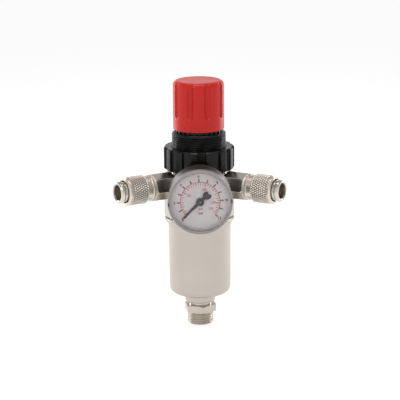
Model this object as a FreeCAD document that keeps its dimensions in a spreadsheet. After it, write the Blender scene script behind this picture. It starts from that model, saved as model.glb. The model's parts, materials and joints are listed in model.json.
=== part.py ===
import FreeCAD, Part
import math
import os
import re
import Sketcher

# Compressed-air pressure regulator with a metal filter bowl, a pressure gauge and two quick couplers.
# Z is up, the origin is the centre of the inlet thread's lower end, and the gauge faces -Y.
# The gauge and the couplers are drawn along their own z, which is the distance from the regulator's axis.
os.makedirs("parts", exist_ok=True)
doc = FreeCAD.newDocument("air_pressure_regulator")
sheet = doc.addObject("Spreadsheet::Sheet", "Spec")

# Every driving size in millimetres, angle in degrees and count.
SIZES = {
    # inlet nipple
    "inlet_thread_r": 10.48, "inlet_bore_r": 7.0, "inlet_thread_top": 10.5, "inlet_chamfer": 0.9,
    "inlet_relief_low": 9.8, "inlet_relief_r": 9.7,
    "inlet_hex": 24.0, "inlet_hex_top": 16.6, "hex_chamfer": 0.8, "undercut_r": 9.6, "nipple_top": 30.0,
    # bowl
    "neck_low": 19.4, "neck_r": 12.5, "neck_top": 26.3, "neck_bore_r": 10.52, "bowl_foot_r": 25.15,
    "dome_round": 12.6, "bowl_r": 25.6, "bowl_wall_top": 85.6, "collar_r": 28.5,
    "collar_low": 89.4, "bowl_top": 90.9, "bowl_inner_r": 22.2, "bowl_floor": 30.5, "bowl_thread_r": 23.06,
    "bowl_thread_low": 79.0, "collar_edge": 0.5,
    # filter
    "filter_r": 15.0, "filter_inner_r": 11.0, "filter_low": 44.0, "filter_top": 77.4, "carrier_r": 21.9,
    "carrier_low": 77.5, "carrier_top": 79.6, "rod_r": 3.0, "rod_low": 41.0, "rod_top": 82.6,
    "retainer_r": 15.4, "retainer_top": 43.9, "spoke_w": 4.0,
    # body
    "body_hex": 50.0, "body_corner_r": 28.87, "body_low": 91.4, "body_top": 129.0, "body_chamfer": 3.0,
    "body_chamfer_drop": 1.8, "spigot_low": 79.8, "spigot_r": 23.0, "spigot_inner_r": 20.0,
    "seal_groove_r": 20.9, "seal_groove_low": 86.9, "seal_groove_top": 89.1, "deck_low": 98.0,
    "deck_top": 104.0, "boss_r": 13.0, "boss_bore_r": 10.5, "boss_low": 86.0, "seat_hole_r": 8.05,
    "chamber_r": 14.0, "sensing_r": 19.0, "sensing_low": 130.0, "neck_thread_r": 24.0, "clamp_face": 138.0,
    "port_bore_r": 6.6,
    "bowl_seal_major": 21.95, "bowl_seal_minor": 0.95, "bowl_seal_z": 88.0,
    # valve
    "cap_r": 10.45, "cap_low": 80.5, "cap_floor_top": 83.6, "cap_bore_r": 8.2, "cap_top": 91.6,
    "cap_window_r": 1.0, "cap_window_z": 84.7, "cap_window_count": 6, "guide_r": 3.0, "guide_bore_r": 3.05,
    "guide_hole_top": 89.0, "guide_wall_r": 4.4, "rod_thread_r": 3.03, "rod_seat_top": 82.8,
    "seat_r": 8.0, "seat_inner_r": 4.6, "seat_lip_r": 5.6, "seat_lip_low": 97.0, "seat_flange_r": 9.2,
    "seat_flange_low": 97.4, "poppet_r": 7.2, "poppet_low": 92.4, "poppet_face": 96.4,
    "stem_r": 1.6, "stem_top": 136.1, "tail_low": 84.6, "poppet_tail_r": 3.0,
    "valve_disc_r": 6.9, "valve_disc_inner_r": 1.7, "valve_disc_top": 96.99,
    "valve_spring_r": 6.2, "valve_spring_wire": 0.5, "valve_spring_low": 84.15, "valve_spring_high": 91.85,
    "valve_spring_pitch": 2.2,
    # diaphragm
    "diaphragm_r": 23.3, "diaphragm_top": 139.5, "diaphragm_hole_r": 4.4, "relief_disc_r": 12.0,
    "relief_disc_low": 136.2, "relief_disc_top": 137.7, "relief_boss_r": 4.0, "relief_boss_top": 143.0,
    "relief_hole_r": 1.1, "plate_r": 13.2, "plate_low": 139.8, "plate_top": 142.0, "plate_hole_r": 4.03,
    "plate_rim_r": 9.4, "plate_rim_inner_r": 8.0, "plate_rim_top": 144.0,
    # setting spring and screw
    "spring_r": 11.2, "spring_wire_r": 1.45, "spring_low": 143.5, "spring_high": 177.3, "spring_pitch": 5.6,
    "nut_r": 15.0, "nut_low": 178.9, "nut_top": 184.6, "nut_bore_r": 5.0, "nut_slot_r": 12.95,
    "nut_slot_w": 3.6, "screw_r": 4.95, "screw_low": 168.0, "screw_collar_r": 8.0, "screw_collar_low": 186.3,
    "screw_collar_top": 188.3, "washer_top": 189.0, "journal_r": 5.0, "circlip_groove_r": 4.3,
    "circlip_low": 192.3, "circlip_top": 193.1, "circlip_r": 7.0, "screw_hex": 8.0, "screw_hex_low": 193.2,
    "screw_top": 200.6,
    # bonnet
    "flange_r": 23.3, "flange_top": 145.6, "bonnet_thread_r": 22.0, "bonnet_relief_r": 21.1,
    "bonnet_thread_low": 150.8, "bonnet_thread_top": 162.4,
    "bonnet_chamfer": 1.2, "bonnet_cavity_r": 18.6, "bonnet_cavity_top": 143.4, "tube_r": 17.6,
    "tube_bore_r": 15.2, "tube_roof": 189.1, "tube_top": 192.0, "journal_bore_r": 5.05, "rib_r": 13.25,
    "rib_w": 3.0, "rib_low": 146.0, "rib_top": 187.0, "lock_tooth_r": 19.0, "lock_tooth_w": 2.0,
    "lock_tooth_top": 164.2, "lock_count": 24, "ring_groove_r": 16.3, "ring_groove_low": 170.2,
    "ring_groove_top": 171.9, "friction_major": 17.12, "friction_minor": 0.78, "friction_z": 171.05,
    # slip ring and ring nut
    "slip_top": 146.1, "slip_inner_r": 22.2, "ring_low": 131.95, "ring_top": 150.3, "ring_r": 28.8,
    "ring_thread_r": 24.06, "ring_lip_bore_r": 22.3, "ring_chamfer": 1.1, "lobe_count": 14,
    "lobe_gap_w": 6.3, "lobe_gap_depth": 1.9, "lobe_gap_low": 131.0, "lobe_turn": -99.0,
    # knob
    "knob_r": 20.75, "knob_low": 164.7, "knob_top": 204.5, "knob_skirt_r": 18.2, "knob_roof": 200.8,
    "knob_round": 4.0, "knob_hub_r": 7.6, "knob_hub_low": 195.3, "knob_hex": 8.12, "knob_socket_top": 203.1,
    "knob_mouth_r": 19.25, "knob_mouth_top": 166.9, "knob_rib_r": 18.35, "knob_foot_round": 0.6,
    "key_turn": 2.5, "knob_turn": 10.0, "flute_count": 9, "flute_r": 2.8, "flute_centre": 21.8, "flute_low": 177.6,
    # gauge, along its own axis from the regulator's axis
    "gauge_z": 118.4, "gauge_roll": 3.0, "shank_r": 6.55, "shank_start": 15.0, "face_start": 25.6,
    "gauge_square": 14.0, "gauge_square_end": 35.9, "case_back": 36.0, "case_r": 24.85,
    "case_wall": 0.7, "case_front": 62.2, "gauge_hole_r": 6.3, "block_end": 45.9, "block_w": 6.0,
    "block_r": 17.1, "pressure_hole_r": 1.4, "bourdon_r": 17.2, "bourdon_wall": 1.5, "bourdon_low": 39.6,
    "bourdon_high": 44.4, "bourdon_sweep": 250.0, "bourdon_turn": 60.0, "lug_r": 14.6, "lug_w": 3.0,
    "lug_top": 46.6, "tip_pin_r": 0.5, "tip_pin_top": 48.1, "tip_pin_reach": 15.8,
    "back_plate_low": 46.0, "back_plate_top": 46.8, "front_plate_low": 51.3, "front_plate_top": 52.1,
    "movement_w": 12.4, "movement_high": 5.2, "movement_low": -14.2, "pillar_r": 1.1, "pillar_x": 4.1,
    "pillar_high": 3.6, "pillar_left_y": -12.4, "pillar_right_y": -10.0, "gear_distance": 11.4,
    "bourdon_tip_angle": -50.0, "tail_angle": -110.0, "arbor_r": 0.6, "arbor_hole_r": 0.64, "arbor_low": 45.95,
    "arbor_top": 62.7, "gear_low": 48.5, "gear_top": 50.3, "gear_module": 0.3, "pinion_teeth": 10,
    "sector_teeth": 66, "sector_arc": 62.0, "sector_lean": -22.0, "gear_backlash": 0.07,
    "sector_hub_r": 2.0, "sector_tail": 4.4, "sector_pin_low": 47.1, "link_low": 47.2, "link_top": 47.9,
    "link_w": 1.8, "link_pin_r": 0.5, "link_hole_r": 0.54, "dial_r": 23.95, "dial_low": 59.3,
    "dial_top": 59.8, "dial_hole_r": 1.6, "spacer_r": 1.4, "lens_r": 25.6, "lens_low": 58.2, "lens_top": 65.0,
    "lens_inner_r": 24.95, "lens_land_r": 23.35, "lens_land_low": 62.3, "lens_glass_low": 63.2,
    "lens_glass_top": 64.3, "lens_round": 0.8, "notch_w": 3.2, "notch_depth": 1.3,
    "pointer_low": 60.9, "pointer_top": 61.5, "pointer_length": 20.4, "pointer_tail": 5.6,
    "pointer_root_w": 2.1, "pointer_tip_w": 0.45, "pointer_hub_r": 3.15, "pointer_hub_top": 62.5,
    "pointer_disc_r": 3.25, "pointer_disc_y": 7.5, "pointer_bite_r": 2.9, "pointer_bite_y": 12.2,
    "pointer_turn": 131.0,
    # quick couplers, along their own axis from the regulator's axis
    "coupler_z": 120.7, "coupler_turn": 60.0, "adapter_bore_r": 3.6, "adapter_hex": 19.0,
    "adapter_corner_r": 10.97, "adapter_hex_end": 38.9, "adapter_spigot_r": 7.42, "adapter_end": 43.0,
    "coupler_start": 39.0, "collar_end": 42.6, "coupler_collar_r": 10.75, "collar_bevel": 0.5,
    "coupler_tube_r": 10.2, "tube_step": 50.0, "coupler_neck_r": 8.0, "neck_end": 66.5, "nose_seat_r": 7.4,
    "nose_seat_end": 75.0, "coupler_thread_r": 7.46, "spigot_room": 43.2, "poppet_room_r": 6.2,
    "poppet_seat": 55.0, "throat_r": 4.6, "throat_end": 56.5, "plug_bore_r": 5.1, "plug_bore_end": 62.0,
    "mouth_r": 6.3, "ball_hole_r": 1.8, "ball_r": 1.75, "ball_ring_r": 6.33, "ball_at": 59.0,
    "ball_count": 6, "clip_groove_r": 7.6, "clip_low": 61.1, "clip_high": 62.1, "clip_r": 8.9,
    "nose_r": 8.85, "nose_low": 66.6, "nose_end": 76.0, "nose_lip_r": 6.5, "nose_bore_r": 7.44,
    "nose_round": 0.9, "sleeve_r": 11.5, "sleeve_low": 48.0, "sleeve_end": 67.0, "sleeve_skirt_r": 10.26,
    "sleeve_shoulder": 57.0, "sleeve_land_r": 8.12, "sleeve_land_end": 61.0, "sleeve_room_r": 9.4,
    "sleeve_edge": 0.8, "sleeve_groove_r": 11.1, "sleeve_groove_low": 63.6, "sleeve_groove_high": 64.3,
    "sleeve_spring_r": 9.12, "sleeve_wire": 0.55, "sleeve_spring_low": 50.65, "sleeve_spring_high": 56.35,
    "sleeve_spring_pitch": 2.85, "valve_head_r": 5.6, "valve_head_low": 52.4, "valve_head_high": 53.9,
    "valve_skirt_r": 6.14, "valve_skirt_inner_r": 5.1, "valve_skirt_low": 48.6, "valve_nose_r": 3.6,
    "valve_nose_high": 57.4, "disc_seal_r": 5.5, "disc_seal_inner_r": 3.65, "disc_seal_low": 53.95,
    "disc_seal_high": 54.97, "valve_spring_mean": 4.3, "valve_wire": 0.4,
    "back_spring_low": 43.45, "back_spring_high": 51.95, "back_spring_pitch": 1.9,
    "port_seal_low": 25.02, "port_seal_high": 25.58, "port_seal_r": 8.0, "port_seal_inner_r": 6.62,
    "valve_slot_w": 2.4, "valve_slot_top": 50.9,
}
for row, (word, value) in enumerate(SIZES.items(), 1):
    sheet.set(f"A{row}", word.replace("_", " "))
    sheet.set(f"B{row}", str(value))
    sheet.setAlias(f"B{row}", word)
doc.recompute()

WORDS = re.compile(r"[a-z_][a-z_0-9]*")


def bound(text):
    """An expression with each sheet word turned into a reference to its cell."""
    return WORDS.sub(lambda found: "Spec." + found.group(0) if found.group(0) in SIZES else found.group(0), text)


def size(text):
    """The value of an expression on the sheet."""
    value = sheet.evalExpression(bound(text))
    return float(getattr(value, "Value", value))


def origin_item(body, role):
    """One of a body's own origin planes or axes."""
    for item in body.Origin.OriginFeatures:
        if item.Role == role:
            return item
    raise ValueError(role)


def new_sketch(body, name, plane, height="0"):
    """A sketch on one of the body's origin planes, lifted along the plane's normal."""
    sketch = body.newObject("Sketcher::SketchObject", name)
    sketch.AttachmentSupport = (origin_item(body, plane), [""])
    sketch.MapMode = "FlatFace"
    if height != "0":
        sketch.setExpression("AttachmentOffset.Base.z", bound(height))
    return sketch


def pin_point(sketch, line, end, point):
    """Fix one end of a line at two sheet expressions, measured from the sketch's origin."""
    for kind, axis, text in (("DistanceX", -2, point[0]), ("DistanceY", -1, point[1])):
        if abs(size(text)) < 1e-9:
            sketch.addConstraint(Sketcher.Constraint("PointOnObject", line, end, axis))
        else:
            index = sketch.addConstraint(Sketcher.Constraint(kind, -1, 1, line, end, size(text)))
            sketch.setExpression(f"Constraints[{index}]", bound(text))


def closed_outline(sketch, points):
    """A closed outline of straight lines, each corner fixed by its two expressions."""
    first = sketch.GeometryCount
    corners = [FreeCAD.Vector(size(across), size(up), 0) for across, up in points]
    total = len(points)
    for index in range(total):
        sketch.addGeometry(Part.LineSegment(corners[index], corners[(index + 1) % total]), False)
    for index in range(total):
        following = first + (index + 1) % total
        sketch.addConstraint(Sketcher.Constraint("Coincident", first + index, 2, following, 1))
    for index, point in enumerate(points):
        pin_point(sketch, first + index, 1, point)


def round_outline(sketch, radius, centre=("0", "0")):
    """A circle with its radius and centre bound to the sheet."""
    middle = FreeCAD.Vector(size(centre[0]), size(centre[1]), 0)
    line = sketch.addGeometry(Part.Circle(middle, FreeCAD.Vector(0, 0, 1), size(radius)), False)
    index = sketch.addConstraint(Sketcher.Constraint("Radius", line, size(radius)))
    sketch.setExpression(f"Constraints[{index}]", bound(radius))
    pin_point(sketch, line, 3, centre)


def regular_outline(sketch, across_flats, sides, turn="0"):
    """A regular polygon given by its width across flats."""
    points = []
    for index in range(sides):
        reach = f"{across_flats} / 2 / cos({180 / sides} deg)"
        angle = f"({360 * index / sides} + {turn}) * 1 deg"
        points.append((f"{reach} * cos({angle})", f"{reach} * sin({angle})"))
    closed_outline(sketch, points)


def new_body(label):
    """A PartDesign body whose Label is the sub-part's name."""
    body = doc.addObject("PartDesign::Body", label)
    body.Label = label
    return body


def revolve(body, name, points, angle="360", kind="Revolution"):
    """Turn a (radius, height) outline about the body's z axis, adding or cutting material."""
    sketch = new_sketch(body, name + "_outline", "XZ_Plane")
    closed_outline(sketch, points)
    feature = body.newObject("PartDesign::" + kind, name)
    feature.Profile = sketch
    feature.ReferenceAxis = (sketch, ["V_Axis"])
    feature.setExpression("Angle", bound(angle))
    doc.recompute()
    return feature


def revolved(label, points, angle="360"):
    """A whole turned sub-part."""
    body = new_body(label)
    revolve(body, label + "_turned", points, angle)
    return body


def pad(body, name, draw, low, high):
    """Raise an outline from one height to another; draw puts the outline in the sketch."""
    sketch = new_sketch(body, name + "_outline", "XY_Plane", low)
    draw(sketch)
    feature = body.newObject("PartDesign::Pad", name)
    feature.Profile = sketch
    feature.setExpression("Length", bound(f"({high}) - ({low})"))
    doc.recompute()
    return feature


def pocket(body, name, draw, low, high):
    """Cut an outline out of the body between two heights."""
    before = body.Shape.Volume
    sketch = new_sketch(body, name + "_outline", "XY_Plane", high)
    draw(sketch)
    feature = body.newObject("PartDesign::Pocket", name)
    feature.Profile = sketch
    feature.setExpression("Length", bound(f"({high}) - ({low})"))
    doc.recompute()
    if body.Shape.Volume > before - 1e-4:
        raise RuntimeError(name + " cut nothing")
    return feature


def radial_hole(body, name, radius, height, reach, turn="0"):
    """Drill outwards from the axis along the body's -Y, turned about the axis by an angle in degrees."""
    before = body.Shape.Volume
    sketch = new_sketch(body, name + "_outline", "XZ_Plane")
    sketch.AttachmentOffset = FreeCAD.Placement(FreeCAD.Vector(), FreeCAD.Rotation(FreeCAD.Vector(0, 1, 0), size(turn)))
    round_outline(sketch, radius, ("0", height))
    feature = body.newObject("PartDesign::Pocket", name)
    feature.Profile = sketch
    feature.Reversed = True
    feature.setExpression("Length", bound(reach))
    doc.recompute()
    if body.Shape.Volume > before - 1e-4:
        raise RuntimeError(name + " cut nothing")
    return feature


def around(body, feature, count, span="360"):
    """Repeat a feature about the body's z axis."""
    pattern = body.newObject("PartDesign::PolarPattern", feature.Name + "_pattern")
    pattern.Originals = [feature]
    pattern.Axis = (origin_item(body, "Z_Axis"), [""])
    pattern.setExpression("Angle", bound(span))
    pattern.setExpression("Occurrences", bound(count))
    body.Tip = pattern
    doc.recompute()
    return pattern


def cut_flats(body, name, across_flats, sides, low, high, turn="0"):
    """Mill a turned blank to a polygon between two heights."""
    def draw(sketch):
        round_outline(sketch, f"{across_flats} * 2")
        regular_outline(sketch, across_flats, sides, turn)
    return pocket(body, name, draw, low, high)


def round_edges(body, name, places, radius):
    """Fillet the circular edges that lie at the given (radius, height) places."""
    base = body.Tip
    edges = []
    for across, height in places:
        for index, edge in enumerate(body.Shape.Edges, 1):
            curve = edge.Curve
            if not isinstance(curve, Part.Circle) or abs(curve.Axis.z) < 0.999:
                continue
            if abs(curve.Radius - size(across)) < 0.01 and abs(curve.Center.z - size(height)) < 0.01:
                edges.append(f"Edge{index}")
    fillet = body.newObject("PartDesign::Fillet", name)
    fillet.Base = (base, sorted(set(edges)))
    fillet.setExpression("Radius", bound(radius))
    doc.recompute()
    return fillet


def ring(label, major, minor, height):
    """A round-section sealing ring."""
    torus = doc.addObject("Part::Torus", label)
    torus.Label = label
    torus.setExpression("Radius1", bound(major))
    torus.setExpression("Radius2", bound(minor))
    torus.setExpression("Placement.Base.z", bound(height))
    doc.recompute()
    return torus


def coil(label, radius, wire, low, high, pitch):
    """A round-wire compression spring between two wire-centre heights."""
    body = new_body(label)
    sketch = new_sketch(body, label + "_wire", "XZ_Plane")
    round_outline(sketch, wire, (radius, low))
    helix = body.newObject("PartDesign::AdditiveHelix", label + "_helix")
    helix.Profile = sketch
    helix.ReferenceAxis = (sketch, ["V_Axis"])
    helix.Mode = 0
    helix.setExpression("Pitch", bound(pitch))
    helix.setExpression("Height", bound(f"{high} - {low}"))
    doc.recompute()
    return body


def place(item, height, turn):
    """Stand a sub-part at a height on the regulator's axis with a given rotation."""
    item.Placement = FreeCAD.Placement(FreeCAD.Vector(0, 0, size(height)), turn)
    item.setExpression("Placement.Base.z", bound(height))
    doc.recompute()
    return item


Z_AXIS = FreeCAD.Vector(0, 0, 1)
X_AXIS = FreeCAD.Vector(1, 0, 0)
FACE_FRONT = FreeCAD.Rotation(X_AXIS, 90)
parts = []

# ---------------------------------------------------------------- inlet and bowl
nipple = revolved("inlet_nipple", [
    ("inlet_bore_r", "0"), ("inlet_thread_r - inlet_chamfer", "0"), ("inlet_thread_r", "inlet_chamfer"),
    ("inlet_thread_r", "inlet_relief_low"), ("inlet_relief_r", "inlet_relief_low"),
    ("inlet_relief_r", "inlet_thread_top"), ("inlet_hex / 2", "inlet_thread_top"),
    ("inlet_hex / 2 / cos(30 deg)", "inlet_thread_top + hex_chamfer"),
    ("inlet_hex / 2 / cos(30 deg)", "inlet_hex_top - hex_chamfer"), ("inlet_hex / 2", "inlet_hex_top"),
    ("undercut_r", "inlet_hex_top"), ("undercut_r", "neck_low"),
    ("inlet_thread_r", "neck_low + inlet_chamfer"), ("inlet_thread_r", "nipple_top"),
    ("inlet_bore_r", "nipple_top")])
cut_flats(nipple, "nipple_flats", "inlet_hex", 6, "inlet_thread_top + 0.01", "inlet_hex_top - 0.01", "41.5")
parts.append(nipple)

bowl = revolved("bowl", [
    ("neck_bore_r", "neck_low"), ("neck_r", "neck_low"), ("neck_r", "neck_top"),
    ("bowl_foot_r", "neck_top + 0.4"), ("bowl_r", "bowl_wall_top"), ("collar_r", "collar_low"),
    ("collar_r", "bowl_top - collar_edge"), ("collar_r - collar_edge", "bowl_top"),
    ("bowl_thread_r", "bowl_top"), ("bowl_thread_r", "bowl_thread_low"),
    ("bowl_inner_r", "bowl_thread_low"), ("bowl_inner_r", "bowl_floor"), ("neck_bore_r", "bowl_floor")])
round_edges(bowl, "bowl_dome", [("bowl_foot_r", "neck_top + 0.4")], "dome_round")
round_edges(bowl, "bowl_inside_dome", [("bowl_inner_r", "bowl_floor")], "dome_round - 2.5")
parts.append(bowl)

parts.append(revolved("filter_element", [
    ("filter_inner_r", "filter_low"), ("filter_r", "filter_low"), ("filter_r", "filter_top"),
    ("filter_inner_r", "filter_top")]))

carrier = revolved("filter_carrier", [
    ("filter_inner_r", "carrier_low"), ("carrier_r", "carrier_low"), ("carrier_r", "carrier_top"),
    ("filter_inner_r", "carrier_top")])
parts.append(carrier)

parts.append(revolved("filter_retainer", [
    ("0", "rod_low"), ("retainer_r - 1", "rod_low"), ("retainer_r", "rod_low + 1"),
    ("retainer_r", "retainer_top"), ("rod_r", "retainer_top"), ("rod_r", "rod_top"), ("0", "rod_top")]))

parts.append(ring("bowl_seal", "bowl_seal_major", "bowl_seal_minor", "bowl_seal_z"))

# ---------------------------------------------------------------- body
body = revolved("body", [
    ("boss_bore_r", "boss_low"), ("boss_r", "boss_low"), ("boss_r", "deck_low"),
    ("spigot_inner_r", "deck_low"), ("spigot_inner_r", "spigot_low"), ("spigot_r", "spigot_low"),
    ("spigot_r", "seal_groove_low"), ("seal_groove_r", "seal_groove_low"),
    ("seal_groove_r", "seal_groove_top"), ("spigot_r", "seal_groove_top"), ("spigot_r", "body_low"),
    ("body_corner_r - body_chamfer", "body_low"), ("body_corner_r", "body_low + body_chamfer_drop"),
    ("body_corner_r", "body_top - body_chamfer_drop"), ("body_corner_r - body_chamfer", "body_top"),
    ("neck_thread_r", "body_top"), ("neck_thread_r", "clamp_face"), ("sensing_r", "clamp_face"),
    ("sensing_r", "sensing_low"), ("chamber_r", "sensing_low"), ("chamber_r", "deck_top"),
    ("seat_hole_r", "deck_top"), ("seat_hole_r", "deck_low"), ("boss_bore_r", "deck_low")])
cut_flats(body, "body_flats", "body_hex", 6, "body_low + 0.01", "body_top - 0.01")
radial_hole(body, "gauge_port", "port_bore_r", "gauge_z", "body_hex / 2 + 1")
radial_hole(body, "left_port", "port_bore_r", "coupler_z", "body_hex / 2 + 1", "-coupler_turn")
radial_hole(body, "right_port", "port_bore_r", "coupler_z", "body_hex / 2 + 1", "coupler_turn")
parts.append(body)

# ---------------------------------------------------------------- valve
cap = revolved("valve_guide_cap", [
    ("rod_thread_r", "cap_low"), ("cap_r", "cap_low"), ("cap_r", "cap_top"), ("cap_bore_r", "cap_top"),
    ("cap_bore_r", "cap_floor_top"), ("guide_wall_r", "cap_floor_top"), ("guide_wall_r", "guide_hole_top"),
    ("guide_bore_r", "guide_hole_top"), ("guide_bore_r", "rod_seat_top"), ("rod_thread_r", "rod_seat_top")])
window = radial_hole(cap, "cap_window", "cap_window_r", "cap_window_z", "cap_r + 1")
around(cap, window, "cap_window_count")
parts.append(cap)

parts.append(revolved("valve_seat", [
    ("seat_inner_r", "seat_lip_low"), ("seat_lip_r", "seat_lip_low"), ("seat_lip_r + 0.4", "seat_flange_low"),
    ("seat_flange_r", "seat_flange_low"), ("seat_flange_r", "deck_low"), ("seat_r", "deck_low"),
    ("seat_r", "deck_top"), ("seat_inner_r", "deck_top")]))

parts.append(revolved("valve_poppet", [
    ("0", "tail_low"), ("guide_r", "tail_low"), ("guide_r", "poppet_low"), ("poppet_r", "poppet_low"),
    ("poppet_r", "poppet_face"), ("stem_r", "poppet_face"), ("stem_r", "stem_top - 1"),
    ("stem_r - 1", "stem_top"), ("0", "stem_top")]))

parts.append(revolved("valve_disc", [
    ("valve_disc_inner_r", "poppet_face + 0.02"), ("valve_disc_r", "poppet_face + 0.02"),
    ("valve_disc_r", "valve_disc_top - 0.3"), ("valve_disc_inner_r", "valve_disc_top - 0.3")]))

parts.append(coil("valve_spring", "valve_spring_r", "valve_spring_wire", "valve_spring_low",
                  "valve_spring_high", "valve_spring_pitch"))

# ---------------------------------------------------------------- diaphragm and setting spring
parts.append(revolved("diaphragm", [
    ("diaphragm_hole_r", "clamp_face + 0.02"), ("diaphragm_r", "clamp_face + 0.02"),
    ("diaphragm_r", "diaphragm_top"), ("diaphragm_hole_r", "diaphragm_top")]))

parts.append(revolved("relief_seat", [
    ("relief_hole_r", "relief_disc_low"), ("relief_disc_r - 0.5", "relief_disc_low"),
    ("relief_disc_r", "relief_disc_low + 0.5"), ("relief_disc_r", "relief_disc_top"),
    ("relief_boss_r", "relief_disc_top"), ("relief_boss_r", "relief_boss_top"),
    ("relief_hole_r", "relief_boss_top")]))

parts.append(revolved("diaphragm_plate", [
    ("plate_hole_r", "plate_low"), ("plate_r - 0.5", "plate_low"), ("plate_r", "plate_low + 0.5"),
    ("plate_r", "plate_top"), ("plate_rim_r", "plate_top"), ("plate_rim_r", "plate_rim_top"),
    ("plate_rim_inner_r", "plate_rim_top"), ("plate_rim_inner_r", "plate_top"),
    ("plate_hole_r", "plate_top")]))

parts.append(coil("control_spring", "spring_r", "spring_wire_r", "spring_low", "spring_high", "spring_pitch"))

spring_nut = revolved("spring_nut", [
    ("nut_bore_r", "nut_low"), ("nut_r - 0.5", "nut_low"), ("nut_r", "nut_low + 0.5"), ("nut_r", "nut_top"),
    ("nut_bore_r", "nut_top")])


def guide_slot(sketch):
    closed_outline(sketch, [
        ("nut_slot_r", "-nut_slot_w / 2"), ("nut_r + 1", "-nut_slot_w / 2"), ("nut_r + 1", "nut_slot_w / 2"),
        ("nut_slot_r", "nut_slot_w / 2")])


slot = pocket(spring_nut, "nut_slot", guide_slot, "nut_low - 0.5", "nut_top + 0.5")
around(spring_nut, slot, "2")
parts.append(spring_nut)

screw = revolved("adjusting_screw", [
    ("0", "screw_low"), ("screw_r - 1", "screw_low"), ("screw_r", "screw_low + 1"),
    ("screw_r", "screw_collar_low"), ("screw_collar_r", "screw_collar_low"),
    ("screw_collar_r", "screw_collar_top"), ("journal_r", "screw_collar_top"), ("journal_r", "circlip_low"),
    ("circlip_groove_r", "circlip_low"), ("circlip_groove_r", "circlip_top"), ("journal_r", "circlip_top"),
    ("journal_r", "screw_top - 0.5"), ("journal_r - 0.5", "screw_top"), ("0", "screw_top")])
cut_flats(screw, "screw_head_flats", "screw_hex", 6, "screw_hex_low", "screw_top + 0.5")
parts.append(screw)

parts.append(revolved("thrust_washer", [
    ("journal_r + 0.15", "screw_collar_top + 0.01"), ("screw_collar_r", "screw_collar_top + 0.01"),
    ("screw_collar_r", "washer_top"), ("journal_r + 0.15", "washer_top")]))

clip = revolved("screw_circlip", [
    ("circlip_groove_r + 0.02", "circlip_low + 0.02"), ("circlip_r", "circlip_low + 0.02"),
    ("circlip_r", "circlip_top - 0.02"), ("circlip_groove_r + 0.02", "circlip_top - 0.02")])


def clip_opening(sketch):
    closed_outline(sketch, [("0", "-1.6"), ("circlip_r + 1", "-1.6"), ("circlip_r + 1", "1.6"), ("0", "1.6")])


pocket(clip, "clip_opening", clip_opening, "circlip_low - 0.5", "circlip_top + 0.5")
parts.append(clip)

# ---------------------------------------------------------------- bonnet, ring nut and knob
bonnet = revolved("bonnet", [
    ("bonnet_cavity_r", "diaphragm_top"), ("flange_r", "diaphragm_top"), ("flange_r", "flange_top"),
    ("bonnet_relief_r", "flange_top"), ("bonnet_relief_r", "bonnet_thread_low"),
    ("bonnet_thread_r", "bonnet_thread_low"), ("bonnet_thread_r", "bonnet_thread_top - bonnet_chamfer"),
    ("bonnet_thread_r - bonnet_chamfer", "bonnet_thread_top"), ("tube_r", "bonnet_thread_top"),
    ("tube_r", "ring_groove_low"), ("ring_groove_r", "ring_groove_low"), ("ring_groove_r", "ring_groove_top"),
    ("tube_r", "ring_groove_top"), ("tube_r", "tube_top - 0.6"), ("tube_r - 0.6", "tube_top"),
    ("journal_bore_r", "tube_top"), ("journal_bore_r", "tube_roof"), ("tube_bore_r", "tube_roof"),
    ("tube_bore_r", "bonnet_cavity_top"), ("bonnet_cavity_r", "bonnet_cavity_top")])


def guide_rib(sketch):
    closed_outline(sketch, [
        ("rib_r", "-rib_w / 2"), ("tube_bore_r + 0.4", "-rib_w / 2"), ("tube_bore_r + 0.4", "rib_w / 2"),
        ("rib_r", "rib_w / 2")])


def lock_tooth(sketch):
    closed_outline(sketch, [
        ("tube_r - 0.4", "-lock_tooth_w / 2"), ("lock_tooth_r", "-lock_tooth_w / 2"),
        ("lock_tooth_r", "lock_tooth_w / 2"), ("tube_r - 0.4", "lock_tooth_w / 2")])


rib = pad(bonnet, "guide_rib", guide_rib, "rib_low", "rib_top")
around(bonnet, rib, "2")
tooth = pad(bonnet, "lock_tooth", lock_tooth, "bonnet_thread_top - 0.3", "lock_tooth_top")
around(bonnet, tooth, "lock_count")
parts.append(bonnet)

parts.append(revolved("slip_ring", [
    ("slip_inner_r", "flange_top + 0.01"), ("flange_r", "flange_top + 0.01"), ("flange_r", "slip_top"),
    ("slip_inner_r", "slip_top")]))

ring_nut = revolved("ring_nut", [
    ("ring_thread_r", "ring_low"), ("ring_r - ring_chamfer", "ring_low"), ("ring_r", "ring_low + ring_chamfer"),
    ("ring_r", "ring_top - ring_chamfer"), ("ring_r - ring_chamfer", "ring_top"),
    ("ring_lip_bore_r", "ring_top"), ("ring_lip_bore_r", "slip_top"), ("ring_thread_r", "slip_top")])


def lobe_gap(sketch):
    closed_outline(sketch, [
        ("ring_r - lobe_gap_depth", "-lobe_gap_w / 2 + 0.5"), ("ring_r + 1", "-lobe_gap_w / 2 - 0.3"),
        ("ring_r + 1", "lobe_gap_w / 2 + 0.3"), ("ring_r - lobe_gap_depth", "lobe_gap_w / 2 - 0.5")])


gap = pocket(ring_nut, "lobe_gap", lobe_gap, "lobe_gap_low", "ring_top + 0.5")
around(ring_nut, gap, "lobe_count")
place(ring_nut, "0", FreeCAD.Rotation(Z_AXIS, size("lobe_turn + 180 / lobe_count")))
parts.append(ring_nut)

parts.append(ring("friction_ring", "friction_major", "friction_minor", "friction_z"))

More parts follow.
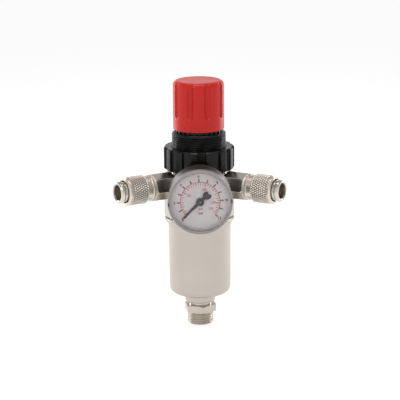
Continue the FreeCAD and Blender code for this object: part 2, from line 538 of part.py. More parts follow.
knob = revolved("knob", [
    ("knob_mouth_r", "knob_low"), ("knob_r", "knob_low"), ("knob_r", "knob_top"), ("0", "knob_top"),
    ("0", "knob_hub_low"), ("knob_hub_r", "knob_hub_low"), ("knob_hub_r", "knob_roof"),
    ("knob_skirt_r", "knob_roof"), ("knob_skirt_r", "knob_mouth_top"), ("knob_mouth_r", "knob_mouth_top")])
round_edges(knob, "knob_top_round", [("knob_r", "knob_top")], "knob_round")
round_edges(knob, "knob_foot_round", [("knob_r", "knob_low")], "knob_foot_round")


def knob_socket(sketch):
    regular_outline(sketch, "knob_hex", 6)


pocket(knob, "knob_socket", knob_socket, "knob_hub_low - 0.5", "knob_socket_top")
knob_volume = knob.Shape.Volume
flute_outline = new_sketch(knob, "flute_outline", "XZ_Plane")
closed_outline(flute_outline, [
    ("flute_centre", "flute_low - flute_r"), ("flute_centre + flute_r * sin(30 deg)", "flute_low - flute_r * cos(30 deg)"),
    ("flute_centre + flute_r * sin(60 deg)", "flute_low - flute_r * cos(60 deg)"),
    ("flute_centre + flute_r", "flute_low"), ("flute_centre + flute_r", "knob_top + 1"),
    ("flute_centre", "knob_top + 1")])
axis_line = flute_outline.addGeometry(Part.LineSegment(
    FreeCAD.Vector(size("flute_centre"), 150, 0), FreeCAD.Vector(size("flute_centre"), 160, 0)), True)
pin_point(flute_outline, axis_line, 1, ("flute_centre", "knob_low - 14"))
pin_point(flute_outline, axis_line, 2, ("flute_centre", "knob_low - 4"))
flute = knob.newObject("PartDesign::Groove", "flute")
flute.Profile = flute_outline
flute.ReferenceAxis = (flute_outline, ["Axis0"])
flute.Angle = 360
doc.recompute()
if knob.Shape.Volume > knob_volume - 1e-4:
    raise RuntimeError("flute cut nothing")
around(knob, flute, "flute_count")


def knob_rib(sketch):
    closed_outline(sketch, [
        ("knob_rib_r", "-lock_tooth_w / 2"), ("knob_mouth_r + 0.4", "-lock_tooth_w / 2"),
        ("knob_mouth_r + 0.4", "lock_tooth_w / 2"), ("knob_rib_r", "lock_tooth_w / 2")])


inner_rib = pad(knob, "knob_rib", knob_rib, "knob_low + 0.2", "knob_mouth_top + 0.3")
around(knob, inner_rib, "lock_count")
parts.append(knob)

# The bonnet's teeth and guide ribs and the knob's socket and ribs keep one angular datum.
place(bonnet, "0", FreeCAD.Rotation(Z_AXIS, size("key_turn")))
place(spring_nut, "0", FreeCAD.Rotation(Z_AXIS, size("key_turn")))
place(knob, "0", FreeCAD.Rotation(Z_AXIS, size("knob_turn")))
place(screw, "0", FreeCAD.Rotation(Z_AXIS, size("knob_turn")))

# ---------------------------------------------------------------- gauge
GAUGE = FACE_FRONT.multiply(FreeCAD.Rotation(Z_AXIS, size("gauge_roll")))
gauge_parts = []


def gauge_turn(angle):
    """The gauge's rotation with a further turn about its own axis."""
    return GAUGE.multiply(FreeCAD.Rotation(Z_AXIS, angle))


def gauge_piece(item, angle=0.0):
    """Place a sub-part on the gauge's axis and keep it."""
    parts.append(place(item, "gauge_z", gauge_turn(angle)))


stem = revolved("gauge_stem", [
    ("pressure_hole_r", "shank_start"), ("shank_r - 0.8", "shank_start"), ("shank_r", "shank_start + 0.8"),
    ("shank_r", "face_start"), ("gauge_square / 2", "face_start"),
    ("gauge_square / 2 / cos(45 deg)", "face_start + 1"), ("gauge_square / 2 / cos(45 deg)", "gauge_square_end"),
    ("gauge_hole_r - 0.1", "gauge_square_end"), ("gauge_hole_r - 0.1", "block_end"),
    ("pressure_hole_r", "block_end")])
cut_flats(stem, "stem_flats", "gauge_square", 4, "face_start + 0.01", "gauge_square_end - 0.01", "45")


def block_arm(sketch):
    closed_outline(sketch, [
        ("4", "-block_w"), ("bourdon_r + bourdon_wall", "-block_w"), ("bourdon_r + bourdon_wall", "0"),
        ("4", "0")])


pad(stem, "block_arm", block_arm, "bourdon_low", "bourdon_high")
gauge_piece(stem, size("bourdon_turn"))

bourdon = new_body("bourdon_tube")
tube = revolve(bourdon, "bourdon_curve", [
    ("bourdon_r", "bourdon_low"), ("bourdon_r + bourdon_wall", "bourdon_low"),
    ("bourdon_r + bourdon_wall", "bourdon_high"), ("bourdon_r", "bourdon_high")], "bourdon_sweep")
tube.Reversed = True
doc.recompute()


def tip_lug(sketch):
    closed_outline(sketch, [
        ("lug_r", "-lug_w / 2"), ("bourdon_r + bourdon_wall / 2", "-lug_w / 2"),
        ("bourdon_r + bourdon_wall / 2", "lug_w / 2"), ("lug_r", "lug_w / 2")])


def tip_pin(sketch):
    round_outline(sketch, "tip_pin_r", ("tip_pin_reach", "0"))


pad(bourdon, "tip_lug", tip_lug, "bourdon_low", "lug_top")
pad(bourdon, "tip_pin", tip_pin, "lug_top - 0.1", "tip_pin_top")
gauge_piece(bourdon, size("bourdon_tip_angle"))

gauge_piece(revolved("gauge_case", [
    ("gauge_hole_r", "case_back"), ("case_r - 1.2", "case_back"), ("case_r", "case_back + 1.2"),
    ("case_r", "case_front"), ("case_r - case_wall", "case_front"),
    ("case_r - case_wall", "case_back + case_wall + 0.8"), ("case_r - case_wall - 0.8", "case_back + case_wall"),
    ("gauge_hole_r", "case_back + case_wall")]))


def plate(label, low, high):
    """One of the two movement plates, with its two arbor holes."""
    body = new_body(label)

    def outline(sketch):
        closed_outline(sketch, [
            ("-movement_w / 2", "movement_low"), ("movement_w / 2", "movement_low"),
            ("movement_w / 2", "movement_high"), ("-movement_w / 2", "movement_high")])

    def holes(sketch):
        round_outline(sketch, "arbor_hole_r")
        round_outline(sketch, "arbor_hole_r", ("0", "-gear_distance"))

    pad(body, label + "_plate", outline, low, high)
    pocket(body, label + "_holes", holes, f"{low} - 0.5", f"{high} + 0.5")
    gauge_piece(body)


plate("movement_back_plate", "back_plate_low", "back_plate_top")
plate("movement_front_plate", "front_plate_low", "front_plate_top")

posts = []
for name, across, up, radius, low, high in (
        ("pillar_a", "-pillar_x", "pillar_high", "pillar_r", "back_plate_top", "front_plate_low"),
        ("pillar_b", "pillar_x", "pillar_high", "pillar_r", "back_plate_top", "front_plate_low"),
        ("pillar_c", "-pillar_x - 0.5", "pillar_left_y", "pillar_r", "back_plate_top", "front_plate_low"),
        ("pillar_d", "pillar_x + 0.5", "pillar_right_y", "pillar_r", "back_plate_top", "front_plate_low"),
        ("spacer_a", "-pillar_x", "pillar_high", "spacer_r", "front_plate_top", "dial_low"),
        ("spacer_b", "pillar_x", "pillar_high", "spacer_r", "front_plate_top", "dial_low")):
    post = doc.addObject("Part::Cylinder", name)
    post.setExpression("Radius", bound(radius))
    post.setExpression("Height", bound(f"{high} - {low}"))
    post.setExpression("Placement.Base.x", bound(across))
    post.setExpression("Placement.Base.y", bound(up))
    post.setExpression("Placement.Base.z", bound(low))
    posts.append(post)
post_set = doc.addObject("Part::Compound", "movement_posts")
post_set.Label = "movement_posts"
post_set.Links = posts
gauge_piece(post_set)

gauge_piece(revolved("gauge_dial", [
    ("dial_hole_r", "dial_low"), ("dial_r", "dial_low"), ("dial_r", "dial_top"), ("dial_hole_r", "dial_top")]))

lens = revolved("gauge_lens", [
    ("0", "lens_glass_low"), ("lens_land_r", "lens_glass_low"), ("lens_land_r", "lens_land_low"),
    ("lens_inner_r", "lens_land_low"), ("lens_inner_r", "lens_low"), ("lens_r", "lens_low"),
    ("lens_r", "lens_top - lens_round"), ("lens_r - lens_round", "lens_top"),
    ("lens_land_r + 0.3", "lens_top"), ("lens_land_r - 0.3", "lens_glass_top"), ("0", "lens_glass_top")])


def clip_notch(sketch):
    closed_outline(sketch, [
        ("lens_r - notch_depth", "-notch_w / 2"), ("lens_r + 1", "-notch_w / 2"), ("lens_r + 1", "notch_w / 2"),
        ("lens_r - notch_depth", "notch_w / 2")])


notch = pocket(lens, "clip_notch", clip_notch, "lens_land_low + 0.6", "lens_top + 0.5")
around(lens, notch, "2")
gauge_piece(lens)

pointer = new_body("gauge_pointer")


def pointer_outline(sketch):
    closed_outline(sketch, [
        ("-pointer_root_w / 2", "-pointer_tail"), ("pointer_root_w / 2", "-pointer_tail"),
        ("pointer_root_w / 2", "0"), ("pointer_tip_w / 2", "pointer_length"),
        ("-pointer_tip_w / 2", "pointer_length"), ("-pointer_root_w / 2", "0")])


def pointer_disc(sketch):
    round_outline(sketch, "pointer_disc_r", ("0", "-pointer_disc_y"))


def pointer_bite(sketch):
    round_outline(sketch, "pointer_bite_r", ("0", "-pointer_bite_y"))


def pointer_hub(sketch):
    round_outline(sketch, "pointer_hub_r")


def pointer_bore(sketch):
    round_outline(sketch, "arbor_r + 0.01")


pad(pointer, "needle", pointer_outline, "pointer_low", "pointer_top")
pad(pointer, "counterweight", pointer_disc, "pointer_low", "pointer_top")
pocket(pointer, "counterweight_bite", pointer_bite, "pointer_low - 0.5", "pointer_top + 0.5")
pad(pointer, "hub", pointer_hub, "pointer_low", "pointer_hub_top")
pocket(pointer, "pointer_bore", pointer_bore, "pointer_low - 0.5", "pointer_hub_top + 0.5")
gauge_piece(pointer, size("pointer_turn"))


def tooth_ring(teeth, module, backlash, start, first, last, inside):
    """Corners of a run of straight-sided gear teeth about the origin, anticlockwise."""
    pitch = module * teeth / 2
    step = 2 * math.pi / teeth
    corners = []
    for index in range(first, last):
        middle = start + index * step
        for radius, share in ((pitch - 1.2 * module, -1.5), (pitch, -1.0), (pitch + 0.8 * module, -0.5),
                              (pitch + 0.8 * module, 0.5), (pitch, 1.0), (pitch - 1.2 * module, 1.5)):
            half = (step / 4 - backlash / pitch) * share
            corners.append(FreeCAD.Vector(radius * math.cos(middle + half), radius * math.sin(middle + half), 0))
    return corners + inside


def gear_solid(corners, low, high):
    """A flat solid between two heights from a closed run of corners."""
    face = Part.Face(Part.makePolygon(corners + [corners[0]]))
    solid = face.extrude(FreeCAD.Vector(0, 0, high - low))
    solid.translate(FreeCAD.Vector(0, 0, low))
    return solid


def shape_part(label, shape, angle=0.0):
    """A sub-part whose toothed outline is built straight from the sheet's sizes."""
    feature = doc.addObject("Part::Feature", label)
    feature.Label = label
    feature.Shape = shape
    gauge_piece(feature, angle)


def post_solid(radius, low, high, across=0.0, up=0.0):
    return Part.makeCylinder(radius, high - low, FreeCAD.Vector(across, up, low))


module = size("gear_module")
backlash = size("gear_backlash")
gear_low = size("gear_low")
gear_top = size("gear_top")
distance = size("gear_distance")
pinion_teeth = int(size("pinion_teeth"))
sector_teeth = int(size("sector_teeth"))
pinion = gear_solid(tooth_ring(pinion_teeth, module, backlash, -math.pi / 2, 0, pinion_teeth, []),
                    gear_low, gear_top)
arbor = post_solid(size("arbor_r"), size("arbor_low"), size("arbor_top"))
shape_part("gauge_pinion", pinion.fuse(arbor).removeSplitter())

step = 2 * math.pi / sector_teeth
half_count = int(size("sector_arc") / 2 / math.degrees(step))
shift = int(round(size("sector_lean") / math.degrees(step)))
first_tooth = shift - half_count
last_tooth = shift + half_count
middle_angle = math.pi / 2 + (shift - 0.5) * step
root = module * sector_teeth / 2 - 1.2 * module
rim = root - 1.6
arc_half = (half_count + 0.3) * step
inner_run = [FreeCAD.Vector(rim * math.cos(middle_angle + arc_half), rim * math.sin(middle_angle + arc_half), 0),
             FreeCAD.Vector(0.9 * math.cos(middle_angle + 1.6), 0.9 * math.sin(middle_angle + 1.6), 0),
             FreeCAD.Vector(0.9 * math.cos(middle_angle - 1.6), 0.9 * math.sin(middle_angle - 1.6), 0),
             FreeCAD.Vector(rim * math.cos(middle_angle - arc_half), rim * math.sin(middle_angle - arc_half), 0)]
sector = gear_solid(tooth_ring(sector_teeth, module, backlash, math.pi / 2 + step / 2 - step, first_tooth + 1,
                               last_tooth + 1, inner_run), gear_low, gear_top)
tail_angle = math.radians(size("tail_angle"))
tail = size("sector_tail")
tail_x = tail * math.cos(tail_angle)
tail_y = tail * math.sin(tail_angle)
sector = sector.fuse(post_solid(size("sector_hub_r"), gear_low, gear_top))
sector = sector.fuse(post_solid(size("arbor_r"), size("arbor_low"), size("front_plate_top") - 0.1))
bar = Part.makeBox(tail, 1.8, gear_top - gear_low, FreeCAD.Vector(0, -0.9, gear_low))
bar.rotate(FreeCAD.Vector(0, 0, 0), Z_AXIS, size("tail_angle"))
sector = sector.fuse(bar).fuse(post_solid(0.9, gear_low, gear_top, tail_x, tail_y))
sector = sector.fuse(post_solid(size("link_pin_r"), size("sector_pin_low"), gear_low + 0.2, tail_x, tail_y))
sector.translate(FreeCAD.Vector(0, -distance, 0))
shape_part("gauge_sector", sector.removeSplitter())

# The link runs from the sector's tail pin to the pin on the tube's tip.
tip_angle = math.radians(size("bourdon_tip_angle"))
pin_a = FreeCAD.Vector(tail_x, tail_y - distance, 0)
pin_b = FreeCAD.Vector(size("tip_pin_reach") * math.cos(tip_angle), size("tip_pin_reach") * math.sin(tip_angle), 0)
span = pin_b - pin_a
low = size("link_low")
high = size("link_top")
half_w = size("link_w") / 2
strip = Part.makeBox(span.Length, 2 * half_w, high - low, FreeCAD.Vector(0, -half_w, low))
strip.rotate(FreeCAD.Vector(0, 0, 0), Z_AXIS, math.degrees(math.atan2(span.y, span.x)))
strip.translate(pin_a)
link = strip.fuse(post_solid(half_w, low, high, pin_a.x, pin_a.y)).fuse(post_solid(half_w, low, high, pin_b.x, pin_b.y))
for pin in (pin_a, pin_b):
    link = link.cut(post_solid(size("link_hole_r"), low - 0.5, high + 0.5, pin.x, pin.y))
shape_part("gauge_link", link.removeSplitter())

# ---------------------------------------------------------------- quick couplers
seals = []


def coupler_piece(item, turn):
    """Place a sub-part on one coupler's axis and keep it."""
    parts.append(place(item, "coupler_z", turn))


def balls(label, turn):
    """The locking balls, as separate solids on one ring."""
    made = []
    for index in range(int(size("ball_count"))):
        ball = doc.addObject("Part::Sphere", f"{label}_{index + 1}")
        ball.setExpression("Radius", bound("ball_r"))
        angle = f"(-90 + 360 / ball_count * {index}) * 1 deg"
        ball.setExpression("Placement.Base.x", bound(f"ball_ring_r * cos({angle})"))
        ball.setExpression("Placement.Base.y", bound(f"ball_ring_r * sin({angle})"))
        ball.setExpression("Placement.Base.z", bound("ball_at"))
        made.append(ball)
    group = doc.addObject("Part::Compound", label)
    group.Label = label
    group.Links = made
    coupler_piece(group, turn)


def valve_slot(sketch):
    closed_outline(sketch, [
        ("valve_skirt_inner_r - 1", "-valve_slot_w / 2"), ("valve_skirt_r + 1", "-valve_slot_w / 2"),
        ("valve_skirt_r + 1", "valve_slot_w / 2"), ("valve_skirt_inner_r - 1", "valve_slot_w / 2")])


for side, sign in (("left", -1), ("right", 1)):
    turn = FreeCAD.Rotation(Z_AXIS, sign * size("coupler_turn")).multiply(FACE_FRONT)
    adapter = revolved(side + "_coupler_adapter", [
        ("adapter_bore_r", "shank_start"), ("shank_r - 0.8", "shank_start"), ("shank_r", "shank_start + 0.8"),
        ("shank_r", "face_start"), ("adapter_hex / 2", "face_start"),
        ("adapter_corner_r", "face_start + 0.9"), ("adapter_corner_r", "adapter_hex_end - 0.9"),
        ("adapter_hex / 2", "adapter_hex_end"), ("adapter_spigot_r", "adapter_hex_end"),
        ("adapter_spigot_r", "adapter_end"), ("adapter_bore_r", "adapter_end")])
    cut_flats(adapter, side + "_adapter_flats", "adapter_hex", 6, "face_start + 0.01",
              "adapter_hex_end - 0.01", "30")
    coupler_piece(adapter, turn)

    shell = revolved(side + "_coupler_body", [
        ("coupler_thread_r", "coupler_start"), ("coupler_collar_r - collar_bevel", "coupler_start"),
        ("coupler_collar_r", "coupler_start + collar_bevel"),
        ("coupler_collar_r", "collar_end - collar_bevel"), ("coupler_collar_r - collar_bevel", "collar_end"),
        ("coupler_tube_r", "collar_end"), ("coupler_tube_r", "tube_step"), ("coupler_neck_r", "tube_step"),
        ("coupler_neck_r", "clip_low"), ("clip_groove_r", "clip_low"), ("clip_groove_r", "clip_high"),
        ("coupler_neck_r", "clip_high"), ("coupler_neck_r", "neck_end"), ("nose_seat_r", "neck_end"),
        ("nose_seat_r", "nose_seat_end"), ("mouth_r", "nose_seat_end"), ("mouth_r", "plug_bore_end"),
        ("plug_bore_r", "plug_bore_end - 0.8"), ("plug_bore_r", "throat_end"), ("throat_r", "throat_end"),
        ("throat_r", "poppet_seat"), ("poppet_room_r", "poppet_seat"), ("poppet_room_r", "spigot_room"),
        ("coupler_thread_r", "spigot_room")])
    ball_hole = radial_hole(shell, side + "_ball_hole", "ball_hole_r", "ball_at", "coupler_neck_r + 1")
    around(shell, ball_hole, "ball_count")
    coupler_piece(shell, turn)

    coupler_piece(revolved(side + "_coupler_nose", [
        ("nose_bore_r", "nose_low"), ("nose_r", "nose_low"), ("nose_r", "nose_end - nose_round"),
        ("nose_r - nose_round * 0.3", "nose_end - nose_round * 0.3"), ("nose_r - nose_round", "nose_end"),
        ("nose_lip_r + 0.4", "nose_end"), ("nose_lip_r", "nose_end - 0.4"), ("nose_lip_r", "nose_seat_end + 0.02"),
        ("nose_bore_r", "nose_seat_end + 0.02")]), turn)

    coupler_piece(revolved(side + "_sleeve", [
        ("sleeve_skirt_r", "sleeve_low"), ("sleeve_r - sleeve_edge", "sleeve_low"),
        ("sleeve_r", "sleeve_low + sleeve_edge"), ("sleeve_r", "sleeve_groove_low"),
        ("sleeve_groove_r", "sleeve_groove_low + 0.2"), ("sleeve_groove_r", "sleeve_groove_high - 0.2"),
        ("sleeve_r", "sleeve_groove_high"), ("sleeve_r", "sleeve_end - sleeve_edge"),
        ("sleeve_r - sleeve_edge", "sleeve_end"), ("sleeve_room_r", "sleeve_end"),
        ("sleeve_room_r", "sleeve_land_end"), ("sleeve_land_r", "sleeve_land_end"),
        ("sleeve_land_r", "sleeve_shoulder"), ("sleeve_skirt_r", "sleeve_shoulder")]), turn)

    coupler_piece(coil(side + "_sleeve_spring", "sleeve_spring_r", "sleeve_wire", "sleeve_spring_low",
                       "sleeve_spring_high", "sleeve_spring_pitch"), turn)
    balls(side + "_balls", turn)

    coupler_piece(revolved(side + "_sleeve_clip", [
        ("clip_groove_r + 0.02", "clip_low + 0.02"), ("clip_r", "clip_low + 0.02"),
        ("clip_r", "clip_high - 0.02"), ("clip_groove_r + 0.02", "clip_high - 0.02")]), turn)

    valve = revolved(side + "_coupler_valve", [
        ("0", "valve_head_low"), ("valve_skirt_inner_r", "valve_head_low"), ("valve_skirt_inner_r", "valve_skirt_low"),
        ("valve_skirt_r", "valve_skirt_low"), ("valve_skirt_r", "valve_head_low + 0.6"),
        ("valve_head_r", "valve_head_high"), ("valve_nose_r", "valve_head_high"),
        ("valve_nose_r", "valve_nose_high - 0.5"), ("valve_nose_r - 0.5", "valve_nose_high"),
        ("0", "valve_nose_high")])
    slot = pocket(valve, side + "_valve_slot", valve_slot, "valve_skirt_low - 0.5", "valve_slot_top")
    around(valve, slot, "3")
    coupler_piece(valve, turn)

    coupler_piece(revolved(side + "_valve_disc", [
        ("disc_seal_inner_r", "disc_seal_low"), ("disc_seal_r", "disc_seal_low"),
        ("disc_seal_r", "disc_seal_high - 0.3"), ("disc_seal_inner_r", "disc_seal_high - 0.3")]), turn)

    coupler_piece(coil(side + "_valve_spring", "valve_spring_mean", "valve_wire", "back_spring_low",
                       "back_spring_high", "back_spring_pitch"), turn)
    seals.append((side, "coupler_z", turn))
seals.append(("front", "gauge_z", GAUGE))

seal_rings = []
for side, height, turn in seals:
    washer = revolved(side + "_seal", [
        ("port_seal_inner_r", "port_seal_low"), ("port_seal_r", "port_seal_low"),
        ("port_seal_r", "port_seal_high"), ("port_seal_inner_r", "port_seal_high")])
    seal_rings.append(place(washer, height, turn))
port_seals = doc.addObject("Part::Compound", "port_seals")
port_seals.Label = "port_seals"
port_seals.Links = seal_rings
parts.append(port_seals)

# ---------------------------------------------------------------- checks and export
doc.recompute()
for item in doc.Objects:
    if "Invalid" in item.State or "Error" in item.State:
        raise RuntimeError(item.Name + " is not up to date")
for item in parts:
    if item.Shape.isNull() or not item.Shape.isValid():
        raise RuntimeError(item.Label + " has no valid shape")
    item.Shape.exportStep(f"parts/{item.Label}.step")
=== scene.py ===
import bmesh
import bpy
import json
import math
import numpy as np
from mathutils import Matrix, Vector


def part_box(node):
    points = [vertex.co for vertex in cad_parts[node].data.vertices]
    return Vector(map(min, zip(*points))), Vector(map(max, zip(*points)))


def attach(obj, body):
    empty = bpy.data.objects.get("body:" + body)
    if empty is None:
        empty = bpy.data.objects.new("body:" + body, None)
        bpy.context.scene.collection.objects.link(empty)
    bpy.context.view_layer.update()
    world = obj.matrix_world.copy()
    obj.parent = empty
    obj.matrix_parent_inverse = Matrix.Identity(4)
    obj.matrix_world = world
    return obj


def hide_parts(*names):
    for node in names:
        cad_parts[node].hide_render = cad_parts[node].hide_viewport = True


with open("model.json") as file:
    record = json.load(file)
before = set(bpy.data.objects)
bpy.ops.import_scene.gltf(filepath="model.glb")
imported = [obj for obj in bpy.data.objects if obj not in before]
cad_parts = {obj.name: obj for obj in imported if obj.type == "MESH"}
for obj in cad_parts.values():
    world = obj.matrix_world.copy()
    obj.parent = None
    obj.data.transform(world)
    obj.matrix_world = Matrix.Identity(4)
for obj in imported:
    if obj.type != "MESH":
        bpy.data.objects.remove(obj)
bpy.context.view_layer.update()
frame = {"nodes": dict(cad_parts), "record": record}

MM = 0.001
nodes = frame["nodes"]


# ---------------------------------------------------------------- colours and materials
def srgb(red, green, blue):
    """Screen colour from 0 to 255 as the linear colour that shaders take."""
    linear = []
    for value in (red, green, blue):
        share = value / 255
        linear.append(share / 12.92 if share <= 0.04045 else ((share + 0.055) / 1.055) ** 2.4)
    return (*linear, 1.0)


def shade(colour, factor):
    """A lighter or darker version of a linear colour."""
    return (*[min(1.0, channel * factor) for channel in colour[:3]], 1.0)


class Paint:
    """A small builder for a procedural material around one Principled shader."""

    def __init__(self, name):
        self.material = bpy.data.materials.new(name)
        self.material.use_nodes = True
        self.tree = self.material.node_tree
        self.shader = self.tree.nodes["Principled BSDF"]
        self.coords = self.tree.nodes.new("ShaderNodeTexCoord").outputs["Object"]

    def link(self, source, target):
        self.tree.links.new(source, target)

    def set(self, **values):
        for key, value in values.items():
            self.shader.inputs[key.replace("_", " ")].default_value = value
        return self

    def scaled(self, scale, vector=None):
        """The coordinates, stretched or squeezed along each axis."""
        mapping = self.tree.nodes.new("ShaderNodeMapping")
        mapping.inputs["Scale"].default_value = scale
        self.link(vector or self.coords, mapping.inputs["Vector"])
        return mapping.outputs["Vector"]

    def noise(self, scale, detail=4.0, roughness=0.55, vector=None, distortion=0.0):
        node = self.tree.nodes.new("ShaderNodeTexNoise")
        node.inputs["Scale"].default_value = scale
        node.inputs["Detail"].default_value = detail
        node.inputs["Roughness"].default_value = roughness
        node.inputs["Distortion"].default_value = distortion
        self.link(vector or self.coords, node.inputs["Vector"])
        return node.outputs["Fac"]

    def cells(self, scale):
        node = self.tree.nodes.new("ShaderNodeTexVoronoi")
        node.inputs["Scale"].default_value = scale
        self.link(self.coords, node.inputs["Vector"])
        return node.outputs["Distance"]

    def groove(self):
        """How deep each point of the mesh lies in a groove, from 0 to 1."""
        node = self.tree.nodes.new("ShaderNodeAttribute")
        node.attribute_name = "groove"
        return node.outputs["Fac"]

    def depth(self):
        """Place along the piece's own axis, in metres."""
        node = self.tree.nodes.new("ShaderNodeSeparateXYZ")
        self.link(self.coords, node.inputs["Vector"])
        return node.outputs["Z"]

    def reach(self):
        """Distance from the piece's own axis, in metres."""
        node = self.tree.nodes.new("ShaderNodeVectorMath")
        node.operation = "LENGTH"
        self.link(self.scaled((1, 1, 0)), node.inputs[0])
        return node.outputs["Value"]

    def ramp(self, factor, low, high):
        """Rise from 0 to 1 while the factor goes from low to high."""
        node = self.tree.nodes.new("ShaderNodeValToRGB")
        node.color_ramp.elements[0].position = low
        node.color_ramp.elements[1].position = high
        self.link(factor, node.inputs["Fac"])
        return node.outputs["Color"]

    def span(self, factor, low, high):
        """Turn a noise value, mostly 0.25 to 0.75, into the range low to high."""
        node = self.tree.nodes.new("ShaderNodeMapRange")
        node.inputs["From Min"].default_value = 0.25
        node.inputs["From Max"].default_value = 0.75
        node.inputs["To Min"].default_value = low
        node.inputs["To Max"].default_value = high
        self.link(factor, node.inputs["Value"])
        return node.outputs["Result"]

    def mix(self, factor, first, second):
        """Blend two colours, each a tuple or another node's output."""
        node = self.tree.nodes.new("ShaderNodeMix")
        node.data_type = "RGBA"
        for letter, value in (("A", first), ("B", second)):
            target = next(item for item in node.inputs if item.name == letter and item.type == "RGBA")
            if isinstance(value, tuple):
                target.default_value = value
            else:
                self.link(value, target)
        self.link(factor, node.inputs["Factor"])
        return next(item for item in node.outputs if item.type == "RGBA")

    def bump(self, height, distance, strength=1.0, under=None):
        node = self.tree.nodes.new("ShaderNodeBump")
        node.inputs["Distance"].default_value = distance
        node.inputs["Strength"].default_value = strength
        self.link(height, node.inputs["Height"])
        if under:
            self.link(under, node.inputs["Normal"])
        return node.outputs["Normal"]

    def finish(self, colour, roughness, normal=None):
        self.link(colour, self.shader.inputs["Base Color"])
        self.link(roughness, self.shader.inputs["Roughness"])
        if normal:
            self.link(normal, self.shader.inputs["Normal"])
        return self.material


def metal(name, colour, rough_low, rough_high, grain=(900, 900, 900), grain_depth=0.000006, tarnish=0.82,
          patch=28.0):
    """Plated or bare metal with machining grain, cloudy tarnish and small pits."""
    paint = Paint(name).set(Metallic=1.0)
    cloud = paint.noise(patch, 5.0, 0.6)
    lines = paint.noise(1.0, 2.0, 0.6, paint.scaled(grain))
    specks = paint.noise(2600.0, 2.0, 0.5)
    tint = paint.mix(paint.ramp(cloud, 0.35, 0.72), colour, shade(colour, tarnish))
    dark = paint.mix(paint.ramp(specks, 0.70, 0.80), tint, shade(colour, 0.55))
    rough = paint.span(cloud, rough_low, rough_high)
    grain_normal = paint.bump(lines, grain_depth, 0.6)
    normal = paint.bump(specks, 0.000004, 0.35, grain_normal)
    return paint.finish(dark, rough, normal)


def plastic(name, colour, rough_low, rough_high, texture=0.00002, coat=0.0, fade=0.8, lift=1.25,
            specular=0.5):
    """Moulded plastic with a spark-eroded texture, flow marks and rubbed spots."""
    paint = Paint(name).set(Coat_Weight=coat, Coat_Roughness=0.12, Specular_IOR_Level=specular)
    flow = paint.noise(55.0, 4.0, 0.55, distortion=0.6)
    fine = paint.noise(1500.0, 3.0, 0.6)
    rub = paint.noise(160.0, 5.0, 0.7)
    tint = paint.mix(paint.ramp(flow, 0.35, 0.7), colour, shade(colour, fade))
    worn = paint.mix(paint.ramp(rub, 0.62, 0.80), tint, shade(colour, lift))
    rough = paint.span(flow, rough_low, rough_high)
    normal = paint.bump(fine, texture, 0.5)
    return paint.finish(worn, rough, normal)


NICKEL = srgb(202, 193, 181)
nickel = metal("nickel_plate", NICKEL, 0.16, 0.30)
bright = metal("nickel_bright", srgb(199, 194, 189), 0.07, 0.16, grain_depth=0.000003, tarnish=0.92)
satin = metal("bowl_satin", srgb(194, 186, 177), 0.34, 0.46, grain=(90, 90, 4200), grain_depth=0.000012,
              tarnish=0.94, patch=14.0)
soft_nickel = metal("nickel_soft", srgb(214, 205, 194), 0.17, 0.28, tarnish=0.86)
thread_metal = metal("thread_metal", srgb(208, 200, 188), 0.24, 0.38, tarnish=0.8)
zinc = metal("zinc_steel", srgb(176, 178, 180), 0.22, 0.38)
spring_wire = metal("spring_wire", srgb(120, 120, 122), 0.25, 0.42, tarnish=0.7)
brass = metal("brass", srgb(206, 170, 96), 0.18, 0.34, tarnish=0.75)
aluminium = metal("aluminium", srgb(190, 191, 193), 0.25, 0.42, grain=(60, 60, 4000))
bright_nose = metal("nose_plate", srgb(214, 207, 198), 0.12, 0.22, tarnish=0.9)
black = plastic("black_nylon", srgb(12, 10, 9), 0.24, 0.38, coat=0.05, specular=0.28)
black_nut = plastic("black_nut", srgb(12, 11, 10), 0.2, 0.34, coat=0.06, specular=0.22)
red = plastic("red_knob", srgb(192, 26, 17), 0.26, 0.38, texture=0.000012, coat=0.1, fade=0.9, lift=1.1,
              specular=0.25)
moulding = plastic("black_acetal", srgb(30, 30, 30), 0.35, 0.5)
acetal = plastic("natural_acetal", srgb(225, 224, 216), 0.4, 0.55, fade=0.93, lift=1.05)
fibre = plastic("red_fibre", srgb(150, 62, 48), 0.55, 0.75, texture=0.00004)
rubber = plastic("nitrile_rubber", srgb(26, 26, 26), 0.5, 0.7, texture=0.00004)
pointer_paint = plastic("pointer_paint", srgb(18, 18, 17), 0.4, 0.55, specular=0.2)
dial_paint = plastic("dial_paint", srgb(238, 229, 229), 0.3, 0.42, texture=0.000004, fade=0.965, lift=1.03)
ink_black = plastic("dial_ink_black", srgb(20, 19, 20), 0.4, 0.55, specular=0.2)
ink_red = plastic("dial_ink_red", srgb(206, 84, 88), 0.4, 0.55, fade=0.93)


def cup_steel():
    """Polished steel of the gauge's cup, with painted shade on its back, which faces the body across a narrow
    gap.
    """
    paint = Paint("gauge_steel").set(Metallic=1.0)
    cloud = paint.noise(28.0, 5.0, 0.6)
    polish = paint.mix(paint.ramp(cloud, 0.35, 0.72), srgb(158, 155, 151), srgb(144, 141, 137))
    # Painted shade: the back of the cup is darkened, standing in for the shade of the narrow gap between cup
    # and body.
    clear_of_back_shade = paint.ramp(paint.depth(), 0.0368, 0.0378)
    return paint.finish(paint.mix(clear_of_back_shade, srgb(52, 50, 48), polish), paint.span(cloud, 0.26, 0.38),
                        paint.bump(paint.noise(2600.0), 0.000004, 0.35))


def knurled_nickel():
    """Nickel plate with painted shade in the grooves of a knurl."""
    paint = Paint("nickel_knurled").set(Metallic=1.0)
    crest = srgb(222, 213, 202)
    cloud = paint.noise(28.0, 5.0, 0.6)
    plate = paint.mix(paint.ramp(cloud, 0.35, 0.72), crest, shade(crest, 0.88))
    # Painted shade: the plate turns darker the deeper a point lies in a knurl groove.
    groove_shade_mask = paint.ramp(paint.groove(), 0.25, 0.95)
    return paint.finish(paint.mix(groove_shade_mask, plate, shade(NICKEL, 0.34)), paint.span(cloud, 0.26, 0.36),
                        paint.bump(paint.noise(2600.0), 0.000004, 0.35))


